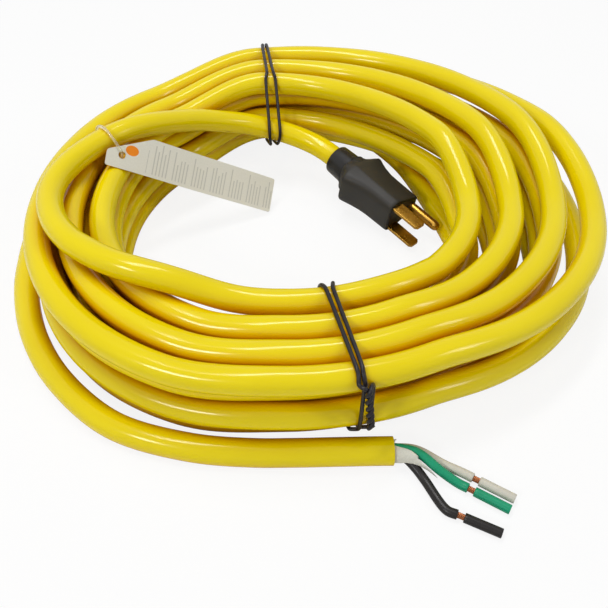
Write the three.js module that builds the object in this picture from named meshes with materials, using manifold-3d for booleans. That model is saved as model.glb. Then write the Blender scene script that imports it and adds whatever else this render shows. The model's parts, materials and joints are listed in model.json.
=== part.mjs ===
// A coiled three-conductor supply cord with a moulded grounded plug on one end and stripped
// conductors on the other. Millimetres, +Z up; the coil lies on the plane z = 0.
import * as THREE from "three";
import { mergeVertices } from "three/addons/utils/BufferGeometryUtils.js";
import Module from "manifold-3d";

const wasm = await Module();
wasm.setup();

// ---------------------------------------------------------------- driving dimensions
const GAP = 0.3; // air between pieces that touch
const CORD_D = 10.9; // over the jacket: three 3.3 mm2 conductors
const CORD_R = CORD_D / 2;
const COIL_INNER_R = 76; // to the middle of the innermost loop
const JACKET_BORE_D = 9.4; // inside the jacket, seen where it is cut
const CORE_D = 3.6; // over the insulation of one conductor
const COPPER_D = 2.3; // bunched strands of one conductor

// Everything lies round the coil: a place is an angle in degrees, anticlockwise from the right,
// the distance outside the innermost loop, and a height.
const spot = (angle, out, height) => {
  const a = THREE.MathUtils.degToRad(angle);
  const r = COIL_INNER_R + out;
  return new THREE.Vector3(r * Math.cos(a), r * Math.sin(a), height);
};

// The coil: four layers of loops, wound from the top inside edge to the bottom inside edge.
const LOOPS_PER_LAYER = 3;
const COIL_SQUASH = [0.4, -2.9, 2.0, -2.0]; // cos 2a, sin 2a, cos 3a, sin 3a: not quite round
const LOOP_PITCH = 11.8; // sideways from loop to loop where the ties draw the coil in
const FAN_PITCH = 9; // added to the pitch where the loops fan out
const FAN_ANGLE = 30; // degrees: the middle of the fan
const LEFT_PITCH = 1.7; // added to the pitch on the side away from the fan
const LAYER_GAP = 0.6; // air between crossing loops of two layers
const NEST_SHARE = 0.46; // how far one layer sinks between the loops of the next, in pitches
const COIL_START = -0.25; // turns: the first loop starts at the front tie
const COIL_END = 2 * 2 * LOOPS_PER_LAYER - 1 / 12; // turns: the last loop ends before the crossing
const START_SLOPE = 1.5; // the first quarter loop runs in faster than the pitch
const LOOP_STEPS = 24;
const LOOP_SIDES = 6;
const FLAT_DEPTH = CORD_D / 10; // cut off the loops that lie on the floor

// Where the tail passes under the coil, the coil rides over it; at the front tie the wire does.
const CROSSING_RISE = CORD_D + 0.5;
const CROSSING_ANGLE = 62;
const CROSSING_HALF_WIDTH = 38;
const CROSSING_RAMP = 32;
const TIE_RISE = 3.8;
const FRONT_TIE_ANGLE = 284;
const REAR_TIE_ANGLE = 98;
const TIE_RISE_HALF_WIDTH = 14;
const TIE_RISE_RAMP = 24;

// Wire ties: each goes round the bundle twice and ends in a short twist.
const TIE_WIRE_D = 2;
const TIE_SPREAD = 5; // between the two rounds, along the bundle

// The plug, from the cord end to the face, and how it lies in the hollow of the coil.
const PLUG_L = 46.6; // from the face to where the cord leaves the strain relief
const PLUG_NOSE = spot(18.3, -18.8, 12.3); // middle of the face
const PLUG_BACK = spot(65.6, -18.8, 20).sub(PLUG_NOSE).normalize(); // from the face to the cord
const PLUG_TAIL = PLUG_NOSE.clone().addScaledVector(PLUG_BACK, PLUG_L);
const STRAIN_RELIEF_L = 20;
const STRAIN_RELIEF_D = [15.2, 16.6]; // at the cord and in the plug
const STRAIN_RELIEF_SHOWS = 11; // length outside the plug body
// Sections of the moulded body: share of its length from the face, width, height.
const BODY_SECTIONS = [
  [0, 22.4, 21.2], [0.03, 23.4, 22], [0.3, 23.2, 21.8], [0.52, 23.8, 21.8], [0.68, 25.8, 22],
  [0.78, 27.6, 22], [0.84, 27.2, 21.6], [0.89, 23.6, 20.6], [0.93, 20.6, 20], [1, 19.6, 19.6],
];
const INSERT_L = 9;
const INSERT_SIZE = [21.2, 19.4]; // width, height
const INSERT_FILLET = 3.4; // exponent of the rounded outlines
const BLADE_PITCH = 12.7;
const BLADE_SECTION = [1.5, 6.35];
const BLADE_L = 15.9;
const GROUND_PIN_D = 4.8;
const GROUND_PIN_L = 18.5;
const GROUND_OFFSET = 11.9; // from the line between the blades
const PIN_ROW_SHIFT = 4.4; // blades off the middle of the face, away from the ground pin
const BARREL_D = 4.6;
const BARREL_L = 7;

// The bare end.
const JACKET_END_BORE = 22; // how deep the cut end is shown open
const SLUG_L = 13.5; // cut insulation, pushed part way off each conductor
const SLUG_GAP = 2.5; // bare copper between the insulation and the slug
const STRAND_IN_SLUG = SLUG_L - SLUG_GAP; // the strands ended flush before the slug was moved

// The tag: a strip with one corner cut off, hung by its hole from the lead.
const TAG_CORNER = spot(173.9, 7.1, 47.2); // lower corner at the hole
const TAG_FAR_CORNER = spot(108.3, -42, 0.6); // lower corner at the other end
const TAG_UPPER_CORNER = spot(103, -29.9, 13.2);
const TAG_L = 88;
const TAG_W = 17.5;
const TAG_CUT = [20.3, 7.2]; // the cut corner: this far along, and this much of the end is left
const TAG_T = 0.5;
const TAG_HOLE_D = 3.4;
const TAG_HOLE_AT = [7, 6.2]; // from the lower corner, along and up
const TAG_LOOP_D = 1.2;

// ---------------------------------------------------------------- routes of the cord
const degrees = THREE.MathUtils.degToRad;
const smooth = (t) => {
  const c = Math.min(Math.max(t, 0), 1);
  return c * c * (3 - 2 * c);
};
const bump = (angle, middle, halfWidth, ramp) => {
  const off = Math.abs(((((angle - middle + 180) % 360) + 360) % 360) - 180);
  return smooth((halfWidth + ramp - off) / ramp);
};
const FLOOR_Z = CORD_R - FLAT_DEPTH; // middle of a loop that lies on the floor

// A point of the coil at s turns from the right-hand side; loops run anticlockwise.
function coilPoint(s) {
  const a = 2 * Math.PI * s;
  const there = 2 * LOOPS_PER_LAYER;
  const phase = Math.max(s, 0) % there;
  const across = s < 0 ? START_SLOPE * s : Math.min(phase, there - phase);
  let layer = 3;
  for (const turn of [1, 2, 3]) layer -= smooth((s - turn * LOOPS_PER_LAYER + 0.25) / 0.5);
  const fan = Math.max(Math.cos(a - degrees(FAN_ANGLE)), 0) ** 1.5;
  const left = Math.max(-Math.cos(a), 0) ** 1.5;
  const pitch = LOOP_PITCH + FAN_PITCH * fan + LEFT_PITCH * left;
  const [c2, s2, c3, s3] = COIL_SQUASH;
  const squash = c2 * Math.cos(2 * a) + s2 * Math.sin(2 * a) + c3 * Math.cos(3 * a) + s3 * Math.sin(3 * a);
  const r = COIL_INNER_R + squash + across * pitch;
  const sunk = NEST_SHARE * LOOP_PITCH * Math.sin(a) ** 2;
  const rise = Math.sqrt((CORD_D + LAYER_GAP) ** 2 - sunk ** 2);
  const turned = THREE.MathUtils.radToDeg(a);
  const ride =
    CROSSING_RISE * bump(turned, CROSSING_ANGLE, CROSSING_HALF_WIDTH, CROSSING_RAMP) +
    TIE_RISE * bump(turned, FRONT_TIE_ANGLE, TIE_RISE_HALF_WIDTH, TIE_RISE_RAMP);
  return new THREE.Vector3(r * Math.cos(a), r * Math.sin(a), FLOOR_Z + layer * rise + ride);
}
const coilHeading = (s) =>
  coilPoint(s + 1e-3)
    .sub(coilPoint(s - 1e-3))
    .normalize();

// The coil's ends run straight for one diameter, square to what they meet.
const coilFirst = coilPoint(COIL_START).addScaledVector(coilHeading(COIL_START), -CORD_D);
const coilLast = coilPoint(COIL_END).addScaledVector(coilHeading(COIL_END), CORD_D);
const coilTurns = COIL_END - COIL_START;
const coilSteps = Math.round(coilTurns * LOOP_STEPS);
const coilRoute = [coilFirst];
for (let i = 0; i <= coilSteps; i += 1) coilRoute.push(coilPoint(COIL_START + (coilTurns * i) / coilSteps));
coilRoute.push(coilLast);

// The lead: from the plug, past the rear tie, over the top of the left side, down to the front tie.
// The tail: from the last loop, under the coil, round the left side on the floor, to the cut end.
const LEAD_POINTS = [
  [75.8, -14.3, 22], [85.7, -10.7, 24.3], [95.3, -8.1, 27], [102.9, -6.7, 29.5],
  [110.7, -5.4, 32.5], [120.3, -4.7, 36.5], [129.7, -3.9, 40.8], [138.4, -3.1, 44.6],
  [148.7, 0.1, 48.6], [157.1, 4.9, 50.8], [163.8, 10, 51], [170.8, 15.2, 51],
  [177.9, 20.1, 50.8], [184.9, 23.7, 50.5], [191.8, 24.9, 50.4], [199.9, 23.8, 50.4],
  [207.9, 20.8, 50.4], [215.5, 16.7, 50], [222.4, 12.1, 49.6], [228.7, 7.3, 49.2],
  [234.8, 2.9, 47.6], [241, -1.4, 44.2], [247.8, -4.7, 40.1],
];
const TAIL_POINTS = [
  [349, 8], [358, 6], [10, 3.9], [23.9, 4.7], [36, 9], [48, 16.5], [60, 25.5], [71, 35], [81.8, 43.8],
  [91, 50.6], [99.9, 55.6], [109.7, 56.1], [121.6, 53.4], [134.7, 50.6], [148, 49], [161, 49],
  [175, 49.1], [184.2, 47.7], [193.7, 46.9], [207.5, 46.3], [221.2, 45.7], [236.2, 45],
  [251.2, 40.8], [263.9, 37.8], [271.5, 37.6, CORD_R - FLAT_DEPTH / 2],
  [278.5, 38.8, CORD_R + 0.1], [284.1, 40.8, CORD_R + 0.1], [289.3, 43.9, CORD_R + 0.1],
];
const plugAxis = PLUG_BACK.clone().negate();
const leadEnd = coilFirst.clone().addScaledVector(coilHeading(COIL_START), -GAP);
const leadRoute = [
  PLUG_TAIL.clone().addScaledVector(plugAxis, STRAIN_RELIEF_L - GAP),
  PLUG_TAIL.clone().addScaledVector(plugAxis, STRAIN_RELIEF_L / 2),
  PLUG_TAIL.clone(),
  ...LEAD_POINTS.map((p) => spot(...p)),
  leadEnd.clone().addScaledVector(coilHeading(COIL_START), -CORD_D / 2),
  leadEnd,
];
const tailStart = coilLast.clone().addScaledVector(coilHeading(COIL_END), GAP);
const tailStraight = tailStart.clone().addScaledVector(coilHeading(COIL_END), CORD_D / 2);
const tailPlaces = TAIL_POINTS.map(([angle, out, z = FLOOR_Z]) => spot(angle, out, z));
const tailRoute = [tailStart, tailStraight, ...tailPlaces];
const curveOf = (points) => new THREE.CatmullRomCurve3(points, false, "centripetal");
const leadCurve = curveOf(leadRoute);
const tailCurve = curveOf(tailRoute);

// Prints how close two stretches of cord come, loop against loop, as air between the jackets.
function leastAir(one, other, skip) {
  let least = Infinity;
  one.forEach((p, i) =>
    other.forEach((q, j) => {
      if (one !== other || Math.abs(i - j) > skip) least = Math.min(least, p.distanceTo(q));
    }),
  );
  return least - CORD_D;
}
const fine = (from, to, n) =>
  Array.from({ length: n + 1 }, (_, i) => coilPoint(from + ((to - from) * i) / n));
const FINE_STEPS = 96; // points in a loop, for measuring
const coilFine = fine(COIL_START, COIL_END, Math.round(coilTurns * FINE_STEPS));
const leadFine = leadCurve.getSpacedPoints(200);
const tailFine = tailCurve.getSpacedPoints(300);
const airInCoil = leastAir(coilFine, coilFine, FINE_STEPS / 2);
const airAtLead = leastAir(leadFine.slice(0, -6), coilFine.slice(8), 0);
const airAtTail = leastAir(tailFine.slice(10), coilFine.slice(0, -8), 0);
console.log(`least gap of the coil to itself ${airInCoil.toFixed(2)} mm`);
console.log(`least gap of lead and coil ${airAtLead.toFixed(2)} mm`);
console.log(`least gap of tail and coil ${airAtTail.toFixed(2)} mm`);
const lengthOf = (points) => points.slice(1).reduce((sum, p, i) => sum + p.distanceTo(points[i]), 0);
const cordLength = lengthOf(leadFine) + lengthOf(coilFine) + 2 * CORD_D + lengthOf(tailFine);
console.log(`cord length ${(cordLength / 1000).toFixed(3)} m`);

// ---------------------------------------------------------------- solids
function toSolid(geometry) {
  const bare = geometry.clone();
  bare.deleteAttribute("normal");
  bare.deleteAttribute("uv");
  const merged = mergeVertices(bare, 1e-4);
  const vertProperties = new Float32Array(merged.attributes.position.array);
  const triVerts = new Uint32Array(merged.index.array);
  return new wasm.Manifold(new wasm.Mesh({ numProp: 3, vertProperties, triVerts }));
}
function toGeometry(solid) {
  const mesh = solid.getMesh();
  const geometry = new THREE.BufferGeometry();
  geometry.setAttribute("position", new THREE.BufferAttribute(new Float32Array(mesh.vertProperties), 3));
  geometry.setIndex(new THREE.BufferAttribute(new Uint32Array(mesh.triVerts), 1));
  return geometry;
}

// Joins rings of points, each anticlockwise seen from its far side, into one closed skin.
function skin(rings, closed = false) {
  const n = rings[0].length;
  const positions = rings.flat().flatMap((p) => [p.x, p.y, p.z]);
  const faces = [];
  const last = closed ? rings.length : rings.length - 1;
  for (let i = 0; i < last; i += 1)
    for (let k = 0; k < n; k += 1) {
      const [a, b] = [i * n + k, i * n + ((k + 1) % n)];
      const [c, d] = [((i + 1) % rings.length) * n + k, ((i + 1) % rings.length) * n + ((k + 1) % n)];
      faces.push(a, b, d, a, d, c);
    }
  if (!closed)
    for (let k = 1; k < n - 1; k += 1) {
      const end = (rings.length - 1) * n;
      faces.push(0, k + 1, k, end, end + k, end + k + 1);
    }
  const geometry = new THREE.BufferGeometry();
  geometry.setAttribute("position", new THREE.Float32BufferAttribute(positions, 3));
  geometry.setIndex(faces);
  return geometry;
}

// A round bar along points; the reference is a direction that the points never run along.
function bar(points, radius, sides, reference, closed = false) {
  const n = points.length;
  const rings = points.map((p, i) => {
    const ahead = closed ? points[(i + 1) % n] : points[Math.min(i + 1, n - 1)];
    const behind = closed ? points[(i + n - 1) % n] : points[Math.max(i - 1, 0)];
    const t = ahead.clone().sub(behind).normalize();
    const side = t.clone().cross(reference).normalize();
    const up = t.clone().cross(side);
    return Array.from({ length: sides }, (_, k) => {
      const angle = (2 * Math.PI * (k + 0.5)) / sides;
      const out = side.clone().multiplyScalar(radius * Math.cos(angle));
      return p.clone().add(out).addScaledVector(up, radius * Math.sin(angle));
    });
  });
  return skin(rings, closed);
}

// A tube or a rod along a free route.
const polygon = (radius, sides) =>
  Array.from({ length: sides }, (_, k) => {
    const angle = (2 * Math.PI * (k + 0.5)) / sides;
    return new THREE.Vector2(radius * Math.cos(angle), radius * Math.sin(angle));
  });
function tube(curve, diameter, bore, steps, sides) {
  const shape = new THREE.Shape(polygon(diameter / 2, sides));
  if (bore) shape.holes.push(new THREE.Path(polygon(bore / 2, sides)));
  return new THREE.ExtrudeGeometry(shape, { steps, extrudePath: curve, bevelEnabled: false });
}
const straight = (from, to) => new THREE.LineCurve3(from, to);

const group = new THREE.Group();
const paint = {
  jacket: new THREE.MeshStandardMaterial({ color: 0xd7c80d, roughness: 0.35 }),
  plug: new THREE.MeshStandardMaterial({ color: 0x2f2e2e, roughness: 0.5 }),
  insert: new THREE.MeshStandardMaterial({ color: 0x3a3838, roughness: 0.6 }),
  brass: new THREE.MeshStandardMaterial({ color: 0xb08a3a, metalness: 1, roughness: 0.3 }),
  copper: new THREE.MeshStandardMaterial({ color: 0xc07a50, metalness: 1, roughness: 0.35 }),
  green: new THREE.MeshStandardMaterial({ color: 0x1a9a70, roughness: 0.45 }),
  white: new THREE.MeshStandardMaterial({ color: 0xd8d4c8, roughness: 0.45 }),
  black: new THREE.MeshStandardMaterial({ color: 0x3a3837, roughness: 0.45 }),
  paper: new THREE.MeshStandardMaterial({ color: 0xdedccb, roughness: 0.9 }),
  wire: new THREE.MeshStandardMaterial({ color: 0x2a2530, roughness: 0.5 }),
  clear: new THREE.MeshStandardMaterial({ color: 0xe6e2c0, roughness: 0.3 }),
};
function place(name, geometry, material) {
  const mesh = new THREE.Mesh(geometry, material);
  mesh.name = name;
  group.add(mesh);
  return mesh;
}

// ---------------------------------------------------------------- the cord
const UP = new THREE.Vector3(0, 0, 1);
const CORD_SIDES = 10;
const LEAD_STEPS = 34;
const TAIL_STEPS = 46;
const onFloor = (geometry) => toSolid(geometry).trimByPlane([0, 0, 1], 0);
place("cord_coil", toGeometry(onFloor(bar(coilRoute, CORD_R, LOOP_SIDES, UP))), paint.jacket);
place("cord_lead", tube(leadCurve, CORD_D, 0, LEAD_STEPS, CORD_SIDES), paint.jacket);

const endPoint = tailCurve.getPoint(1);
const endAxis = tailCurve.getTangent(1);
const endSide = UP.clone().cross(endAxis).normalize();
const along = (origin, axis, distance) => origin.clone().addScaledVector(axis, distance);
const borePath = straight(along(endPoint, endAxis, -JACKET_END_BORE), along(endPoint, endAxis, 1));
const tailSolid = onFloor(tube(tailCurve, CORD_D, 0, TAIL_STEPS, CORD_SIDES));
const bored = tailSolid.subtract(toSolid(tube(borePath, JACKET_BORE_D, 0, 1, 16)));
place("cord_tail", toGeometry(bored), paint.jacket);

// ---------------------------------------------------------------- the bare end
const CORE_SPREAD = (CORE_D + GAP) / Math.sqrt(3); // three conductors, a gap apart
const coreOffset = (angle) => {
  const a = degrees(angle);
  const side = endSide.clone().multiplyScalar(CORE_SPREAD * Math.cos(a));
  return side.addScaledVector(UP, CORE_SPREAD * Math.sin(a));
};
const CORE_ON_FLOOR = CORE_D / 2 + 0.1;
const CORE_STEPS = 12;
const SLEEVE_END = 4; // straight insulation before the cut, half of it filled with strands
// Where each conductor leaves the jacket, and its bends, tip and heading, seen from above with the
// cut end at 0, 0: across to the right, to the back, and up.
const CORES = {
  green: { at: 90, bends: [[8.8, -1.6, 6.9], [16.5, -7.2, 4.2]], tip: [39.9, -21.6], to: [0.851, -0.525] },
  white: { at: -30, bends: [[8.8, 1.7, 3.6], [19, -3.8, 2.2]], tip: [42.4, -17.5], to: [0.851, -0.525] },
  black: {
    at: 210, bends: [[4.2, -2.1, 4.3], [8, -5.6, 3], [11, -10, 2]], tip: [35.3, -30.4], to: [0.9, -0.436],
  },
};
const fromCut = ([x, y, z]) => new THREE.Vector3(endPoint.x + x, endPoint.y + y, z);
for (const [colour, core] of Object.entries(CORES)) {
  const heading = new THREE.Vector3(core.to[0], core.to[1], 0).normalize();
  const tip = fromCut([...core.tip, CORE_ON_FLOOR]);
  const slugStart = along(tip, heading, -SLUG_L);
  const strip = along(slugStart, heading, -SLUG_GAP);
  const out = endPoint.clone().add(coreOffset(core.at));
  const inside = along(out, endAxis, 1 - JACKET_END_BORE);
  const bends = core.bends.map(fromCut);
  const beforeStrip = along(strip, heading, -SLEEVE_END);
  const halfWay = along(inside, endAxis, JACKET_END_BORE / 2);
  const sleeve = curveOf([inside, halfWay, out, ...bends, beforeStrip, strip]);
  const strandBore = COPPER_D + 2 * 0.2;
  place(`${colour}_insulation`, tube(sleeve, CORE_D, strandBore, CORE_STEPS, 8), paint[colour]);
  place(`${colour}_slug`, tube(straight(slugStart, tip), CORE_D, strandBore, 1, 8), paint[colour]);
  const strandEnd = along(slugStart, heading, STRAND_IN_SLUG);
  const strandStart = along(strip, heading, -SLEEVE_END / 2);
  place(`${colour}_strands`, tube(straight(strandStart, strandEnd), COPPER_D, 0, 1, 8), paint.copper);
}

// Paper wrap: a torn sleeve round the three conductors, long in front and short on top.
const WRAP_FROM = -9;
const WRAP_TORN = [3.4, 4.6, 4, 3.2, 2.2, 2.6, 5.5, 8, 5, 2.2, 2.2, 2.8, 6, 4, 2.6, 2.4]; // round it
const WRAP_T = 0.15;
const WRAP_R = CORE_SPREAD + CORE_D / 2 + 0.1;
const wrapRing = (r, run) =>
  WRAP_TORN.map((torn, k) => {
    const a = (2 * Math.PI * k) / WRAP_TORN.length;
    const p = along(endPoint, endAxis, run ?? torn).addScaledVector(endSide, r * Math.cos(a));
    return p.addScaledVector(UP, r * Math.sin(a));
  });
const wrapIn = WRAP_R / Math.cos(Math.PI / WRAP_TORN.length);
const wrapOut = wrapIn + WRAP_T;
const wrapRings = [
  wrapRing(wrapOut, WRAP_FROM), wrapRing(wrapOut), wrapRing(wrapIn), wrapRing(wrapIn, WRAP_FROM),
];
place("paper_wrap", skin(wrapRings, true), paint.paper);

// ---------------------------------------------------------------- the plug
const plugWide = new THREE.Vector3(-plugAxis.y, plugAxis.x, 0).normalize();
const plugHigh = plugAxis.clone().cross(plugWide);
const plugFrame = new THREE.Matrix4().makeBasis(plugWide, plugHigh, plugAxis).setPosition(PLUG_NOSE);
const BODY_L = PLUG_L - STRAIN_RELIEF_SHOWS;
const inPlug = (geometry) => geometry.applyMatrix4(plugFrame);
// A rounded outline at depth z behind the face.
const outline = (wide, high, z, n = 32) =>
  Array.from({ length: n }, (_, k) => {
    const a = (2 * Math.PI * k) / n;
    const power = 2 / INSERT_FILLET;
    const x = (Math.sign(Math.cos(a)) * Math.abs(Math.cos(a)) ** power * wide) / 2;
    const y = (Math.sign(Math.sin(a)) * Math.abs(Math.sin(a)) ** power * high) / 2;
    return new THREE.Vector3(x, y, -z);
  });
const loft = (sections) => skin([...sections].reverse().map(([z, wide, high]) => outline(wide, high, z)));
const body = toSolid(loft(BODY_SECTIONS.map(([share, wide, high]) => [share * BODY_L, wide, high])));
const SLEEVE_IN_BODY = STRAIN_RELIEF_L - STRAIN_RELIEF_SHOWS;
const pocket = [INSERT_SIZE[0] + 2 * GAP, INSERT_SIZE[1] + 2 * GAP];
const frontPocket = toSolid(loft([[-1, ...pocket], [INSERT_L + GAP, ...pocket]]));
const WIRE_SPACE = 0.94; // of the pocket's width and height
const space = pocket.map((size) => size * WIRE_SPACE);
const SPACE_NECK = 14;
const wireSpace = toSolid(
  loft([
    [INSERT_L, ...space],
    [INSERT_L + BARREL_L + 1, ...space],
    [BODY_L - SLEEVE_IN_BODY + 1, SPACE_NECK, SPACE_NECK],
  ]),
);
const lathe = (profile) => toSolid(new THREE.LatheGeometry(profile.map((p) => new THREE.Vector2(...p)), 24));
const turnedSolid = (profile) => lathe(profile).rotate([90, 0, 0]);
const sleeveR = STRAIN_RELIEF_D.map((d) => d / 2);
const sleeveAtBody = sleeveR[1] + ((sleeveR[0] - sleeveR[1]) * SLEEVE_IN_BODY) / STRAIN_RELIEF_L;
const rearPocket = turnedSolid([
  [0, -BODY_L - 0.2],
  [sleeveAtBody + GAP, -BODY_L - 0.2],
  [sleeveR[1] + GAP, -BODY_L + SLEEVE_IN_BODY],
  [0, -BODY_L + SLEEVE_IN_BODY],
]);
const shell = body.subtract(frontPocket).subtract(wireSpace).subtract(rearPocket);
place("plug_body", inPlug(toGeometry(shell)), paint.plug);
const reliefBore = CORD_R + GAP;
const relief = turnedSolid([
  [reliefBore, -PLUG_L],
  [sleeveR[0], -PLUG_L],
  [sleeveR[1], -PLUG_L + STRAIN_RELIEF_L - GAP],
  [reliefBore, -PLUG_L + STRAIN_RELIEF_L - GAP],
  [reliefBore, -PLUG_L],
]);
place("strain_relief", inPlug(toGeometry(relief)), paint.plug);

// Pins in the plug's own frame: x across the row, y up, z out of the face.
const ROW = -PIN_ROW_SHIFT;
const PINS = {
  line: { x: ROW, y: -BLADE_PITCH / 2, core: "black", seat: -120 },
  neutral: { x: ROW, y: BLADE_PITCH / 2, core: "white", seat: 120 },
  ground: { x: ROW + GROUND_OFFSET, y: 0, core: "green", seat: 0 },
};
const block = (wide, high, from, to, x, y) =>
  toSolid(new THREE.BoxGeometry(wide, high, to - from).translate(x, y, (from + to) / 2));
const rod = (radius, from, to, x, y, sides = 16) => {
  const cylinder = new THREE.CylinderGeometry(radius, radius, to - from, sides).rotateX(Math.PI / 2);
  return toSolid(cylinder.translate(x, y, (from + to) / 2));
};
const barrelFrom = -INSERT_L - GAP;
const barrelTo = barrelFrom - BARREL_L;
const BARREL_FLOOR = 1.5; // solid metal before the barrel's bore
const strandFit = COPPER_D / 2 + 0.25;
let insert = toSolid(loft([[0, ...INSERT_SIZE], [INSERT_L, ...INSERT_SIZE]]));
const CHAMFER = 1.2; // at the tips of blades and pin
for (const [name, pin] of Object.entries(PINS)) {
  const { x, y } = pin;
  let metal;
  if (name === "ground") {
    const r = GROUND_PIN_D / 2;
    metal = turnedSolid([
      [0, barrelFrom - 0.5],
      [r, barrelFrom - 0.5],
      [r, GROUND_PIN_L - 2 * CHAMFER],
      [r * 0.8, GROUND_PIN_L - CHAMFER / 2],
      [r * 0.4, GROUND_PIN_L],
      [0, GROUND_PIN_L],
    ]).translate([x, y, 0]);
    insert = insert.subtract(rod(r + GAP, -INSERT_L - 1, 1, x, y, 20));
  } else {
    const [thick, wide] = BLADE_SECTION;
    const half = wide / 2;
    const profile = [
      [-half, barrelFrom - 0.5], [half, barrelFrom - 0.5], [half, BLADE_L - CHAMFER],
      [half - CHAMFER, BLADE_L], [CHAMFER - half, BLADE_L], [-half, BLADE_L - CHAMFER],
    ].map((p) => new THREE.Vector2(...p));
    const plate = new THREE.ExtrudeGeometry(new THREE.Shape(profile), { depth: thick, bevelEnabled: false });
    plate.translate(0, 0, -thick / 2).rotateX(Math.PI / 2);
    metal = toSolid(plate.translate(x, y, 0));
    insert = insert.subtract(block(wide + 2 * GAP, thick + 2 * GAP, -INSERT_L - 1, 1, x, y));
  }
  metal = metal.add(rod(BARREL_D / 2, barrelTo, barrelFrom, x, y));
  metal = metal.subtract(rod(strandFit, barrelTo - 1, barrelFrom - BARREL_FLOOR, x, y, 12));
  place(name === "ground" ? "ground_pin" : `${name}_blade`, inPlug(toGeometry(metal)), paint.brass);

  const seat = degrees(pin.seat);
  const local = (px, py, pz) => new THREE.Vector3(px, py, pz).applyMatrix4(plugFrame);
  const [sx, sy] = [CORE_SPREAD * Math.cos(seat), CORE_SPREAD * Math.sin(seat)];
  const coreFrom = -PLUG_L + STRAIN_RELIEF_L;
  const coreTo = barrelTo - 1;
  const route = curveOf([
    local(sx, sy, coreFrom), local(sx, sy, coreFrom + 1), local(x, y, coreTo - 2.5), local(x, y, coreTo),
  ]);
  const strandEnd = local(x, y, barrelFrom - BARREL_FLOOR - GAP);
  place(`${name}_conductor`, tube(route, CORE_D, COPPER_D + 2 * 0.2, 6, 8), paint[pin.core]);
  const inBarrel = straight(local(x, y, coreTo - 2), strandEnd);
  place(`${name}_strands`, tube(inBarrel, COPPER_D, 0, 1, 8), paint.copper);
}
place("plug_insert", inPlug(toGeometry(insert)), paint.insert);

// ---------------------------------------------------------------- the ties
const TIE_AIR = 0.6; // between the wire and the loops
const TIE_POINTS = 26; // in one round
const TWIST_R = TIE_WIRE_D / 2 + 0.12;
const TWIST_POINTS = 8; // in one turn of the twist
// Middle of every stretch of cord that a tie at this angle goes round: distance out and height.
function bundleAt(angle, extra) {
  const centres = [];
  for (let s = angle / 360 - 1; s < COIL_END; s += 1) {
    if (s < COIL_START) continue;
    const p = coilPoint(s);
    centres.push([Math.hypot(p.x, p.y), p.z]);
  }
  return centres.concat(extra.map((p) => [Math.hypot(p.x, p.y), p.z]));
}
function tieWire(angle, extra, twist) {
  const a = degrees(angle);
  const out = new THREE.Vector3(Math.cos(a), Math.sin(a), 0);
  const run = new THREE.Vector3(-Math.sin(a), Math.cos(a), 0);
  const centres = bundleAt(angle, extra);
  const reach = CORD_R + TIE_WIRE_D / 2 + TIE_AIR;
  const at = (r, z, offset) =>
    out.clone().multiplyScalar(r).addScaledVector(UP, z).addScaledVector(run, offset);
  const onBundle = (phi, offset) => {
    const d = [Math.cos(phi), Math.sin(phi)];
    const gain = (c) => c[0] * d[0] + c[1] * d[1];
    const far = centres.reduce((best, c) => (gain(c) > gain(best) ? c : best));
    return at(far[0] + reach * d[0], far[1] + reach * d[1], offset);
  };
  const first = degrees(twist.at);
  const foot = onBundle(first, 0);
  const outFoot = out.clone().multiplyScalar(Math.cos(first)).addScaledVector(UP, Math.sin(first));
  const base = along(foot, outFoot, 1.7 * TIE_WIRE_D);
  const [leanOut, leanUp, leanRun] = twist.lean;
  const heading = out.clone().multiplyScalar(leanOut).addScaledVector(UP, leanUp);
  heading.addScaledVector(run, leanRun).normalize();
  const across = run.clone().addScaledVector(heading, -run.dot(heading)).normalize();
  const third = heading.clone().cross(across);
  const turns = twist.turns;
  const strand = (sign) =>
    Array.from({ length: turns * TWIST_POINTS + 1 }, (_, i) => {
      const turn = (2 * Math.PI * i) / TWIST_POINTS;
      return along(base, heading, (twist.length * i) / (turns * TWIST_POINTS))
        .addScaledVector(across, sign * TWIST_R * Math.cos(turn))
        .addScaledVector(third, sign * TWIST_R * Math.sin(turn));
    });
  const shoulder = (sign) =>
    along(foot, outFoot, 0.9 * TIE_WIRE_D).addScaledVector(run, sign * 0.4 * TIE_SPREAD);
  const rounds = Array.from({ length: 2 * TIE_POINTS + 1 }, (_, i) => {
    const share = i / (2 * TIE_POINTS);
    return onBundle(first + 4 * Math.PI * share, TIE_SPREAD * (share - 0.5));
  });
  const points = [...strand(-1).reverse(), shoulder(-1), ...rounds, shoulder(1), ...strand(1)];
  return bar(points, TIE_WIRE_D / 2, 6, run);
}
const angleOf = (p) => THREE.MathUtils.radToDeg(Math.atan2(p.y, p.x));
// The lead crosses the rear tie at a slant, so the tie goes round a short stretch of it.
const leadAtRearTie = leadFine.filter((p) => Math.abs(angleOf(p) - REAR_TIE_ANGLE) < 3);
const frontTwist = { at: 25, lean: [0.17, -1, 0.06], length: 19, turns: 3 };
const rearTwist = { at: 14, lean: [0.3, -1, -0.1], length: 11, turns: 2 };
place("front_tie", tieWire(FRONT_TIE_ANGLE, [], frontTwist), paint.wire);
place("rear_tie", tieWire(REAR_TIE_ANGLE, leadAtRearTie, rearTwist), paint.wire);

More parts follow.
